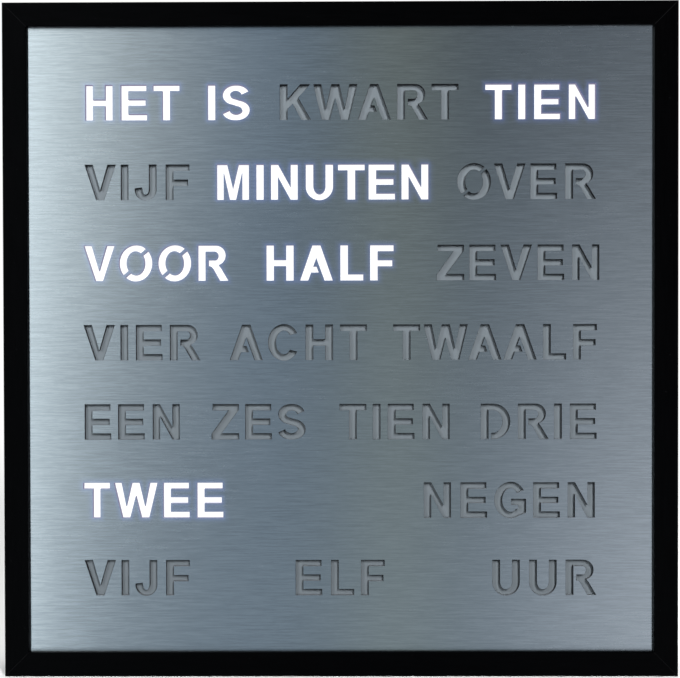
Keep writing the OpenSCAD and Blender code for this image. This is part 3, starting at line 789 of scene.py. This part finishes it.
ROWS = (
    Row(176.3, (
        Word("HET", (-188.9, -162.6, -138.7), Light.ON),
        Word("IS", (-98.0, -87.7), Light.ON),
        Word("KWART", (-44.4, -19.5, 13.4, 42.6, 68.1)),
        Word("TIEN", (107.8, 132.2, 144.0, 169.6), Light.ON))),
    Row(117.2, (
        Word("VIJF", (-189.6, -162.7, -152.4, -129.3)),
        Word("MINUTEN", (-91.4, -62.2, -51.3, -25.4, -1.4, 21.3, 45.7), Light.ON),
        Word("OVER", (87.0, 114.3, 141.2, 167.0)))),
    Row(57.2, (
        Word("VOOR", (-190.7, -164.4, -135.5, -105.6), Light.ON),
        Word("HALF", (-54.8, -29.8, 0.2, 22.3), Light.ON),
        Word("ZEVEN", (71.6, 96.0, 119.1, 146.5, 172.1)))),
    Row(-1.8, (
        Word("VIER", (-190.8, -163.4, -151.9, -126.6)),
        Word("ACHT", (-82.0, -53.6, -25.7, 0.0)),
        Word("TWAALF", (39.4, 62.1, 95.2, 121.3, 150.5, 172.8)))),
    Row(-60.8, (
        Word("EEN", (-190.3, -165.4, -139.6)),
        Word("ZES", (-95.8, -70.7, -46.8)),
        Word("TIEN", (-0.6, 24.1, 35.3, 61.1)),
        Word("DRIE", (104.3, 131.9, 158.7, 170.5)))),
    Row(-119.3, (
        Word("TWEE", (-191.6, -168.8, -132.0, -106.9), Light.ON),
        Word("NEGEN", (62.0, 89.2, 114.3, 143.2, 168.8)))),
    Row(-177.0, (
        Word("VIJF", (-190.7, -163.3, -153.0, -130.0)),
        Word("ELF", (-33.5, -7.1, 15.2)),
        Word("UUR", (112.8, 140.2, 167.3)))),
)


@dataclass(frozen=True)
class Layout:
    """Where every opening of the face lies, in millimetres from its middle."""

    stencil: Stencil = Stencil()
    rows: tuple[Row, ...] = ROWS

    def words(self, light: Light | None = None) -> list[tuple[float, Word]]:
        """Returns the words, or the lit or the dark ones, each after the height of its row's foot."""
        foot = self.stencil.cap_mm / 2
        return [(row.middle_mm - foot, word) for row in self.rows for word in row.words
                if light in (None, word.light)]

    def openings(self, light: Light | None = None) -> list[Loop]:
        """Lays out the letters.

        Args:
            light: Which words are wanted, or None for all.

        Returns:
            The outlines of their letters.
        """
        loops = []
        for foot, word in self.words(light):
            for left, letter in zip(word.lefts_mm, word.text):
                loops += [loop + (left, foot) for loop in self.stencil.outlines(letter)]
        return loops

    def lit_boxes(self, margin: float) -> np.ndarray:
        """Lays out the cells of the lit words.

        Args:
            margin: How far a cell goes past its word, in millimetres.

        Returns:
            Left, right, lower and upper edge of each cell, one row each.
        """
        boxes = []
        for foot, word in self.words(Light.ON):
            width = self.stencil.outlines(word.text[-1])[0][:, 0].max()
            boxes.append((word.lefts_mm[0] - margin, word.lefts_mm[-1] + width + margin,
                          foot - margin, foot + self.stencil.cap_mm + margin))
        return np.array(boxes)


# ---------------------------------------------------------------- Pieces


def put(name: str, data: bpy.types.ID) -> bpy.types.Object:
    """Puts an object that shows some data into the scene, at the origin."""
    made = bpy.data.objects.new(name, data)
    bpy.context.scene.collection.objects.link(made)
    return made


def add_to_clock(piece: bpy.types.Object, body: str, node: str) -> None:
    """Gives a piece its place in the clock.

    Args:
        piece: The finished piece.
        body: The body that it moves with.
        node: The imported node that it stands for.
    """
    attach(piece, body)
    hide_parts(node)
    LOG.info("made %s for %s, on %s", piece.name, node, body)


def new_mesh(name: str, points: np.ndarray, faces: list, *materials: Material) -> bpy.types.Mesh:
    """Makes a mesh.

    Args:
        name: Name of the mesh.
        points: One row of X, Y and Z for each point, in metres.
        faces: Lists of point numbers, anticlockwise from outside.
        materials: Its finishes.

    Returns:
        The mesh.
    """
    mesh = bpy.data.meshes.new(name)
    mesh.from_pydata(points.tolist(), [], faces)
    for material in materials:
        mesh.materials.append(material)
    mesh.update()
    return mesh


def carry(mesh: bpy.types.Mesh, name: str, values: np.ndarray) -> None:
    """Gives a mesh one number a point, for its finish to read."""
    mesh.attributes.new(name, "FLOAT", "POINT").data.foreach_set("value", values.astype(np.float32))


def at_depth(flat: np.ndarray, y: float) -> np.ndarray:
    """Returns points with the X and Z of flat ones and one Y."""
    return np.stack([flat[:, 0], np.full(len(flat), y), flat[:, 1]], 1)


def offset(loop: Loop, distance: float) -> Loop:
    """Moves a loop outwards.

    Each corner goes along the sum of its two edges' outward normals, by the distance over 1 plus their
    product, which keeps both edges parallel. A very sharp corner goes less far.

    Args:
        loop: An anticlockwise loop.
        distance: How far it moves; below 0, inwards.

    Returns:
        The moved loop.
    """
    sharpest = 0.4
    edge = np.roll(loop, -1, 0) - loop
    edge = edge / np.linalg.norm(edge, axis=1)[:, None]
    normal = np.stack([edge[:, 1], -edge[:, 0]], 1)
    before = np.roll(normal, 1, 0)
    share = np.maximum(1 + np.sum(normal * before, 1), sharpest)
    return loop + distance * (normal + before) / share[:, None]


def within(points: np.ndarray, loop: Loop) -> np.ndarray:
    """Tells which points lie in a loop.

    They are those from which a line to the right crosses the loop an odd number of times.

    Args:
        points: Flat points.
        loop: The loop.

    Returns:
        True or False for each point.
    """
    x, z = points[:, 0, None], points[:, 1, None]
    after = np.roll(loop, -1, 0)
    rise = after[:, 1] - loop[:, 1]
    crossed = (loop[:, 1] > z) != (after[:, 1] > z)
    meet = loop[:, 0] + (z - loop[:, 1]) * (after[:, 0] - loop[:, 0]) / np.where(rise == 0, 1.0, rise)
    return np.sum(crossed & (x < meet), 1) % 2 == 1


def distance_to(points: np.ndarray, loops: list[Loop]) -> np.ndarray:
    """Measures how far points are from the nearest edge of some loops.

    The nearest place on an edge is its start plus its direction times the point's share along it, kept in 0
    to 1.

    Args:
        points: Flat points.
        loops: The loops.

    Returns:
        A distance for each point.
    """
    batch = 1000
    start = np.concatenate(loops)
    run = np.concatenate([np.roll(loop, -1, 0) - loop for loop in loops])
    length2 = np.sum(run * run, 1)
    found = np.empty(len(points))
    for k in range(0, len(points), batch):
        away = points[k:k + batch, None] - start[None]
        share = np.clip(np.sum(away * run, 2) / length2, 0, 1)
        found[k:k + batch] = np.sqrt(np.min(np.sum((away - share[..., None] * run) ** 2, 2), 1))
    return found


@dataclass
class FacePlate:
    """The steel face with every letter cut through it."""

    layout: Layout
    chamfer_mm: float = 0.15
    mesh_step_mm: float = 3.2
    rim_margin_mm: float = 0.7
    # How far the painted glow reaches round a lit word.
    painted_glow_mm: float = 4.2
    name: str = "face_plate_cut"

    def __post_init__(self) -> None:
        """Reads the sheet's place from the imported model."""
        self.low, self.high = (np.array(corner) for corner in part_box("face_plate"))

    def sheet_loop(self) -> Loop:
        """Returns the outline of the sheet in millimetres from the middle of the face, anticlockwise."""
        x0, x1 = self.low[0] / MM, self.high[0] / MM
        z0, z1 = (self.low[2] - MID_Z) / MM, (self.high[2] - MID_Z) / MM
        return np.array([(x0, z0), (x1, z0), (x1, z1), (x0, z1)])

    def inner_points(self, sheet: Loop, rims: list[Loop]) -> np.ndarray:
        """Spreads points over the sheet.

        Args:
            sheet: Outline of the sheet.
            rims: Outlines that the points keep clear of.

        Returns:
            The points of an even grid, apart from those near a rim.
        """
        step = self.mesh_step_mm
        axis = np.arange(sheet[0, 0] + step, sheet[1, 0] - step / 2, step)
        grid = np.stack(np.meshgrid(axis, axis + (sheet[0, 1] - sheet[0, 0])), -1).reshape(-1, 2)
        return grid[distance_to(grid, rims) > self.rim_margin_mm]

    def filled(self, sheet: Loop, openings: list[Loop], extra: np.ndarray) -> tuple[np.ndarray, np.ndarray]:
        """Fills a sheet with openings.

        The whole sheet is cut into triangles that keep every outline's edges, and the triangles whose middle
        lies in an opening are left out.

        Args:
            sheet: Outline of the sheet.
            openings: Outlines that are left out.
            extra: More points inside the sheet, for an even mesh.

        Returns:
            The points and the triangles.
        """
        inside_only, nearness = 1, 1e-5
        loops = [sheet, *openings]
        points = np.concatenate([*loops, extra])
        edges, start = [], 0
        for loop in loops:
            ring = np.arange(len(loop))
            edges += np.stack([start + ring, start + np.roll(ring, -1)], 1).tolist()
            start += len(loop)
        made = delaunay_2d_cdt([Vector(p) for p in points], edges, [], inside_only, nearness, False)
        placed, corners = np.array([tuple(v) for v in made[0]]), np.array(made[2])
        middles = placed[corners].mean(1)
        kept = np.ones(len(corners), bool)
        for loop in openings:
            near = np.flatnonzero(np.all((middles > loop.min(0)) & (middles < loop.max(0)), 1))
            kept[near[within(middles[near], loop)]] = False
        return placed, corners[kept]

    def surface(self) -> tuple[np.ndarray, list[list[int]], list[bool]]:
        """Works out the plate in millimetres: its front, its back, and two bands of faces along each outline.

        The first band is the chamfer, from the rim on the front to the outline a chamfer deeper. The second
        goes on from there to the back.

        Returns:
            The points, the faces, and for each face whether the cutter made it.
        """
        sheet, openings = self.sheet_loop(), self.layout.openings()
        rims = [offset(loop, self.chamfer_mm) for loop in openings]
        edge = offset(sheet, -self.chamfer_mm)
        front, front_faces = self.filled(edge, rims, self.inner_points(sheet, rims))
        back, back_faces = self.filled(sheet, openings, np.zeros((0, 2)))
        y0, y1 = self.low[1] / MM, self.high[1] / MM
        layers = [at_depth(front, y0), at_depth(back, y1)]
        faces = front_faces.tolist() + (back_faces[:, ::-1] + len(front)).tolist()
        cut = [False] * len(faces)
        start = len(front) + len(back)
        for loop, rim, hole in [(sheet, edge, False), *zip(openings, rims, [True] * len(rims))]:
            layers += [at_depth(rim, y0), at_depth(loop, y0 + self.chamfer_mm), at_depth(loop, y1)]
            count = len(loop)
            here = np.arange(count)
            after = np.roll(here, -1)
            for first in (start, start + count):
                quads = first + np.stack([here, after, after + count, here + count], 1)
                faces += (quads if hole else quads[:, ::-1]).tolist()
                cut += [hole] * count
            start += 3 * count
        return np.concatenate(layers), faces, cut

    def build(self) -> bpy.types.Object:
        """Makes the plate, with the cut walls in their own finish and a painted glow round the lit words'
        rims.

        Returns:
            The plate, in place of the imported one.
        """
        points, faces, cut = self.surface()
        away = distance_to(points[:, ::2], self.layout.openings(Light.ON))
        points = points * MM + (0, 0, MID_Z)
        mesh = new_mesh(self.name, points, faces, BrushedSteel().material(), CutSteel().material())
        mesh.polygons.foreach_set("material_index", np.array(cut, np.int32))
        # Painted glow: how near each point lies to a lit word, which the steel's finish turns into emitted
        # light.
        carry(mesh, "spill", np.clip(1 - away / self.painted_glow_mm, 0, 1))
        self.lay_grain(mesh, points)
        self.weld(mesh)
        plate = put(self.name, mesh)
        add_to_clock(plate, "clock", "face_plate")
        return plate

    @staticmethod
    def lay_grain(mesh: bpy.types.Mesh, points: np.ndarray) -> None:
        """Adds the map that turns the grain: its U is twice Z and its V is minus twice X.

        Args:
            mesh: The plate's mesh.
            points: Its points, in metres.
        """
        corner = np.empty(len(mesh.loops), np.int32)
        mesh.loops.foreach_get("vertex_index", corner)
        flat = np.stack([points[corner, 2], -points[corner, 0]], 1) * 2
        mesh.uv_layers.new(name="grain").data.foreach_set("uv", flat.astype(np.float32).ravel())

    @staticmethod
    def weld(mesh: bpy.types.Mesh) -> None:
        """Joins the points that the layers share."""
        work = bmesh.new()
        work.from_mesh(mesh)
        bmesh.ops.remove_doubles(work, verts=work.verts, dist=WELD)
        work.to_mesh(mesh)
        work.free()


@dataclass
class OpalSheet:
    """The opal sheet behind the face, which carries how brightly each of its points is lit from behind."""

    layout: Layout
    step_mm: float = 2.5
    fade_mm: float = 3.0
    cell_margin_mm: float = 3.5
    name: str = "opal_sheet"

    def glow(self, flat: np.ndarray) -> np.ndarray:
        """Works out how bright each point is: 1 behind a lit word, falling to 0 outside its cell.

        The distance outside a cell is the length of what each coordinate is beyond the cell's edges, and the
        glow is e to the power of minus its square over the fade's.

        Args:
            flat: Points in millimetres from the middle of the face.

        Returns:
            A number from 0 to 1 for each point.
        """
        best = np.zeros(len(flat))
        for x0, x1, z0, z1 in self.layout.lit_boxes(self.cell_margin_mm):
            beyond_x = np.maximum(np.maximum(x0 - flat[:, 0], flat[:, 0] - x1), 0)
            beyond_z = np.maximum(np.maximum(z0 - flat[:, 1], flat[:, 1] - z1), 0)
            best = np.maximum(best, np.exp(-(beyond_x ** 2 + beyond_z ** 2) / self.fade_mm ** 2))
        return best

    def build(self) -> bpy.types.Object:
        """Makes the sheet as two even grids joined round their edges.

        Returns:
            The sheet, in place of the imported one.
        """
        low, high = (np.array(corner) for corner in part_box("diffuser"))
        count = int((high[0] - low[0]) / MM / self.step_mm) + 1
        x = np.linspace(low[0], high[0], count)
        z = np.linspace(low[2], high[2], count)
        flat = np.stack(np.meshgrid(x, z), -1).reshape(-1, 2)
        number = np.arange(count * count).reshape(count, count)
        corners = (number[:-1, :-1], number[:-1, 1:], number[1:, 1:], number[1:, :-1])
        front = np.stack([corner.ravel() for corner in corners], 1)
        edge = np.concatenate([number[0, :-1], number[:-1, -1], number[-1, :0:-1], number[:0:-1, 0]])
        after = np.roll(edge, -1)
        rim = np.stack([edge, edge + len(flat), after + len(flat), after], 1)
        faces = np.concatenate([front, front[:, ::-1] + len(flat), rim]).tolist()
        points = np.concatenate([at_depth(flat, low[1]), at_depth(flat, high[1])])
        mesh = new_mesh(self.name, points, faces, OpalAcrylic().material())
        carry(mesh, "glow", self.glow((points[:, ::2] - (0, MID_Z)) / MM))
        sheet = put(self.name, mesh)
        add_to_clock(sheet, "clock", "diffuser")
        return sheet


@dataclass
class EasedFitting:
    """A fitting whose sharp edges are broken, as on pressed and turned parts."""

    node: str
    width_mm: float
    slot: str
    body: str = "clock"
    segments: int = 3
    flat_degrees: float = 1.5
    sharp_degrees: float = 35

    def build(self, material: Material) -> bpy.types.Object:
        """Copies the solid, joins its loose triangles, clears flat faces of inner edges and eases the rest.

        Args:
            material: The finish.

        Returns:
            The fitting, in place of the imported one.
        """
        work = bmesh.new()
        work.from_mesh(frame["nodes"][self.node].data)
        bmesh.ops.remove_doubles(work, verts=work.verts, dist=WELD)
        flat = math.radians(self.flat_degrees)
        bmesh.ops.dissolve_limit(work, angle_limit=flat, verts=work.verts, edges=work.edges)
        mesh = bpy.data.meshes.new(f"{self.node}_eased")
        work.to_mesh(mesh)
        work.free()
        mesh.materials.clear()
        mesh.materials.append(material)
        mesh.shade_flat()
        piece = put(mesh.name, mesh)
        bevel = piece.modifiers.new("eased", "BEVEL")
        bevel.width = self.width_mm * MM
        bevel.segments = self.segments
        bevel.limit_method = "ANGLE"
        bevel.angle_limit = math.radians(self.sharp_degrees)
        add_to_clock(piece, self.body, self.node)
        return piece


@dataclass
class Fittings:
    """Plates, screws, turn buttons, set buttons, bumpers and the socket, all with eased edges."""

    finishes: dict[str, Material]
    turn_buttons: int = 8

    def listed(self) -> list[EasedFitting]:
        """Lists the fittings, each moving one on its own body."""
        fixed = (("hanger_plates", 0.3, "zinc"), ("hanger_screws", 0.25, "zinc"),
                 ("turn_button_screws", 0.25, "brass"), ("wall_bumpers", 0.9, "bumper_rubber"),
                 ("set_button_barrels", 0.3, "black_plastic"), ("power_socket", 0.25, "black_plastic"))
        moving = [("hour_button", "red_plastic"), ("minute_button", "black_plastic")]
        moving += [(f"turn_button_{k + 1}", "brass") for k in range(self.turn_buttons)]
        return ([EasedFitting(*facts) for facts in fixed]
                + [EasedFitting(node, 0.3, slot, node) for node, slot in moving])

    def build(self) -> None:
        """Makes each fitting in the finish of its slot."""
        for fitting in self.listed():
            fitting.build(self.finishes[fitting.slot])


@dataclass
class CarriedNodes:
    """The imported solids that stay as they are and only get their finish."""

    finishes: dict[str, Material] = field(default_factory=dict)

    def __post_init__(self) -> None:
        """Makes every finish once, and those with a grain once for each way it runs."""
        plain = {
            "opal_acrylic": Moulded("opal_spare", (0.32, 0.33, 0.36)),
            "face_steel": PlatedMetal("steel_spare", (0.35, 0.38, 0.41), (0.28, 0.3, 0.32)),
            "black_foam_board": FoamBoard(),
            "white_board": PressedBoard("white_faced_board", (0.72, 0.70, 0.64), (0.62, 0.60, 0.54)),
            "hardboard": PressedBoard("brown_hardboard", (0.185, 0.098, 0.046), (0.155, 0.080, 0.037)),
            "strip_white": Moulded("strip_tape_white", (0.80, 0.80, 0.76), 0.45),
            "circuit_board": CircuitBoard(),
            "black_plastic": Moulded("plastic_black", (0.016, 0.017, 0.019), 0.38),
            "red_plastic": Moulded("plastic_red", (0.42, 0.018, 0.014), 0.28, 0.15),
            "green_plastic": Moulded("plastic_green", (0.03, 0.19, 0.085), 0.32, 0.15),
            "white_plastic": Moulded("plastic_ivory", (0.74, 0.70, 0.60), 0.32, 0.15),
            "zinc": PlatedMetal("zinc_plate", (0.60, 0.61, 0.63), (0.42, 0.42, 0.41)),
            "brass": PlatedMetal("brass_plate", (0.62, 0.47, 0.21), (0.36, 0.25, 0.10)),
            "lead_jacket": Moulded("lead_jacket_black", (0.018, 0.018, 0.02), 0.5, 0.2),
            "bumper_rubber": Moulded("rubber_black", (0.02, 0.02, 0.021), 0.62, 0.5, 0.35),
        }
        self.finishes.update({slot: finish.material() for slot, finish in plain.items()})
        ply = ((0.62, 0.48, 0.30), (0.46, 0.31, 0.16))
        for axis in Along:
            self.finishes[f"black_wood_{axis.name}"] = PaintedWood(axis).material()
            self.finishes[f"pine_{axis.name}"] = BareWood("pine", axis).material()
            self.finishes[f"plywood_{axis.name}"] = BareWood("birch_ply", axis, *ply).material()

    def dress(self) -> None:
        """Gives each node the finish of its slot, with the grain along the node's longer side."""
        for part in frame["record"]["subparts"]:
            node, slot = part["node"], part["material_slot"]
            low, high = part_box(node)
            axis = Along.X if high.x - low.x >= high.z - low.z else Along.Z
            finish = self.finishes.get(slot) or self.finishes[f"{slot}_{axis.name}"]
            mesh = frame["nodes"][node].data
            mesh.materials.clear()
            mesh.materials.append(finish)
            LOG.info("dressed %s in %s", node, finish.name)


# ---------------------------------------------------------------- Studio


@dataclass(frozen=True)
class Patch:
    """A soft upright patch of light in the room, by its place to the side, its width and its tint."""

    aside: float
    width: float
    tint: Colour


@dataclass(frozen=True)
class Room:
    """The room that lights the clock and is mirrored in its face: dim, with a window at its left.

    A way is given by how far it goes to the side or up for each metre ahead of the clock. A pair of numbers
    is a strength, or a length, low in the room and the same high in it.
    """

    least_ahead: float = 0.02
    ahead: Point = (0.03, 0.2)
    height: Point = (-0.42, 0.42)
    window_edge: float = -0.34
    window_end: float = -0.415
    window_fade: Point = (0.020, 0.130)
    window_light: Point = (0.047, 1.247)
    window_tint: Colour = (0.90, 1.0, 1.029)
    curtain: Point = (-0.7, -0.48)
    curtain_share: float = 0.1
    wall_light: Point = (0.332, 0.070)
    wall_tint: Colour = (0.787, 1.0, 1.212)
    right_edge: float = 0.118
    right_width: float = 0.4
    right_light: Point = (1.70, 0.0)
    right_tint: Colour = (1.0, 1.0, 1.033)
    middle: Patch = Patch(0.055, 0.05, (0.1, 0.1, 0.041))
    sky: Patch = Patch(-0.09, 0.09, (0.0, 0.035, 0.095))
    diffuse_share: float = 0.2

    def lights(self, ink: Wiring, aside: Socket, upward: Socket) -> list[tuple[Colour, Socket]]:
        """Works out the room's lights.

        The window falls off as e to the power of minus the way past its edge over the fade. The right wall
        grows with the way past its edge. A patch is e to the power of minus the squared way from its middle
        over its width.

        Args:
            ink: The world's node tree.
            aside: How far a way goes to the side.
            upward: 0 low in the room and 1 high in it.

        Returns:
            The tint and the strength of each light.
        """
        def between(pair: Point) -> Socket:
            """Returns the value of a pair at the way's height."""
            return ink.math("ADD", pair[0], ink.times(upward, pair[1] - pair[0]))

        def soft(patch: Patch) -> Socket:
            """Returns the strength of a patch."""
            off = ink.math("DIVIDE", ink.math("SUBTRACT", aside, patch.aside), patch.width)
            return ink.math("EXPONENT", ink.times(ink.times(off, off), -1.0))

        kept = ink.math("MAXIMUM", aside, self.window_end)
        past = ink.times(ink.math("SUBTRACT", kept, self.window_edge), -1.0)
        fall = ink.math("EXPONENT", ink.math("DIVIDE", past, between(self.window_fade)))
        open_share = ink.span(aside, *self.curtain, self.curtain_share, 1.0)
        window = ink.times(ink.times(fall, between(self.window_light)), open_share)
        over = ink.math("MAXIMUM", ink.math("SUBTRACT", aside, self.right_edge), 0.0)
        right = ink.times(ink.math("MINIMUM", over, self.right_width), between(self.right_light))
        return [(self.window_tint, window), (self.wall_tint, between(self.wall_light)),
                (self.right_tint, right), (self.middle.tint, soft(self.middle)),
                (self.sky.tint, ink.times(soft(self.sky), upward))]

    def build(self) -> None:
        """Makes the world: white for the camera and behind the clock, and the room in front of it."""
        world = bpy.data.worlds.new("studio")
        bpy.context.scene.world = world
        world.use_nodes = True
        ink = Wiring(world.node_tree)
        x, y, z = ink.axes(ink.node("TexCoord").outputs["Generated"])
        forward = ink.math("MAXIMUM", ink.times(y, -1.0), self.least_ahead)
        aside = ink.math("DIVIDE", x, forward)
        upward = ink.span(ink.math("DIVIDE", z, forward), *self.height)
        in_front = ink.span(forward, *self.ahead)
        path = ink.node("LightPath")
        dimmed = ink.span(path.outputs["Is Diffuse Ray"], 0.0, 1.0, 1.0, self.diffuse_share)
        share = ink.times(in_front, dimmed)
        lit = ink.fed("Background", WHITE, ink.math("SUBTRACT", 1.0, in_front)).outputs[0]
        for tint, strength in self.lights(ink, aside, upward):
            light = ink.fed("Background", tint, ink.times(strength, share))
            lit = ink.fed("AddShader", lit, light.outputs[0]).outputs[0]
        white = ink.fed("Background", WHITE, 1.0).outputs[0]
        seen = ink.fed("MixShader", path.outputs["Is Camera Ray"], lit, white)
        ink.feed(ink.node("OutputWorld").inputs[0], seen.outputs[0])


@dataclass(frozen=True)
class Lamp:
    """An oblong soft lamp that faces the clock and isn't mirrored in it."""

    name: str
    place: Place
    size: Point
    watts: float

    def build(self) -> None:
        """Hangs the lamp."""
        data = bpy.data.lights.new(self.name, "AREA")
        data.shape = "RECTANGLE"
        data.size, data.size_y = self.size
        data.energy = self.watts
        lamp = put(self.name, data)
        lamp.location = self.place
        way = Vector((0, 0, MID_Z)) - Vector(self.place)
        lamp.rotation_euler = way.to_track_quat("-Z", "Y").to_euler()
        lamp.visible_glossy = False


LAMPS = (
    Lamp("soft_right", (0.62, -1.45, 1.15), (0.1, 0.8), 36.0),
    Lamp("soft_left", (-0.62, -0.72, 0.6), (0.12, 0.4), 3.6),
    Lamp("soft_behind", (0.8, 1.8, 1.6), (1.6, 1.6), 15.0),
)


@dataclass(frozen=True)
class Floor:
    """A wide pale floor that sheds little light and fades to white far from the clock."""

    reach: float = 12.0
    seen: Colour = (0.90, 0.90, 0.90)
    shed: Colour = (0.18, 0.18, 0.18)
    fade: Point = (0.45, 1.8)

    def material(self) -> Material:
        """Returns the floor's finish, past which shiny pieces look at the room.

        The distance from the clock is the square root of X squared plus Y squared.
        """
        ink = Sketch("pale_floor")
        path = ink.node("LightPath")
        by_eye = path.outputs["Is Camera Ray"]
        ink.set(Base_Color=ink.blend(by_eye, self.shed, self.seen), Roughness=0.9, Specular_IOR_Level=0.1)
        x, y, _ = ink.axes(ink.place)
        away = ink.math("SQRT", ink.math("ADD", ink.times(x, x), ink.times(y, y)))
        far = ink.times(ink.span(away, *self.fade), by_eye)
        look = ink.shader.outputs[0]
        for share, over in ((far, "Emission"), (path.outputs["Is Glossy Ray"], "BsdfTransparent")):
            look = ink.fed("MixShader", share, look, ink.node(over).outputs[0]).outputs[0]
        ink.feed(ink.output.inputs[0], look)
        return ink.material

    def build(self) -> None:
        """Lays the floor."""
        r = self.reach
        corners = np.array([(-r, -r, 0), (r, -r, 0), (r, r, 0), (-r, r, 0)])
        put("floor", new_mesh("floor", corners, [(0, 1, 2, 3)], self.material()))


@dataclass(frozen=True)
class View:
    """The camera in front of the clock, nearly square to it. Its turn is in radians about X, Y and Z."""

    lens_mm: float = 48.345
    sensor_mm: float = 36.0
    eye: Place = (0.00304, -0.7, 0.25658)
    turn: Place = (-0.0088, 0.00203, 0.00483)
    nearest: float = 0.01

    def build(self) -> None:
        """Sets the camera up."""
        data = bpy.data.cameras.new("view")
        data.lens = self.lens_mm
        data.sensor_width = self.sensor_mm
        data.clip_start = self.nearest
        camera = put("view", data)
        pitch, roll, yaw = (Matrix.Rotation(angle, 4, axis) for angle, axis in zip(self.turn, "XYZ"))
        level = Matrix.Rotation(math.radians(90), 4, "X")
        camera.matrix_world = Matrix.Translation(self.eye) @ yaw @ pitch @ roll @ level
        bpy.context.scene.camera = camera


def main() -> None:
    """Builds the studio and the clock's looks, in order."""
    logging.basicConfig(level=logging.INFO, format="%(name)s: %(message)s")
    bpy.context.scene.view_settings.view_transform = "Standard"
    for thing in (View(), Floor(), Room(), *LAMPS):
        thing.build()
    nodes = CarriedNodes()
    nodes.dress()
    layout = Layout()
    FacePlate(layout).build()
    OpalSheet(layout).build()
    Fittings(nodes.finishes).build()


if __name__ == "__main__":
    main()
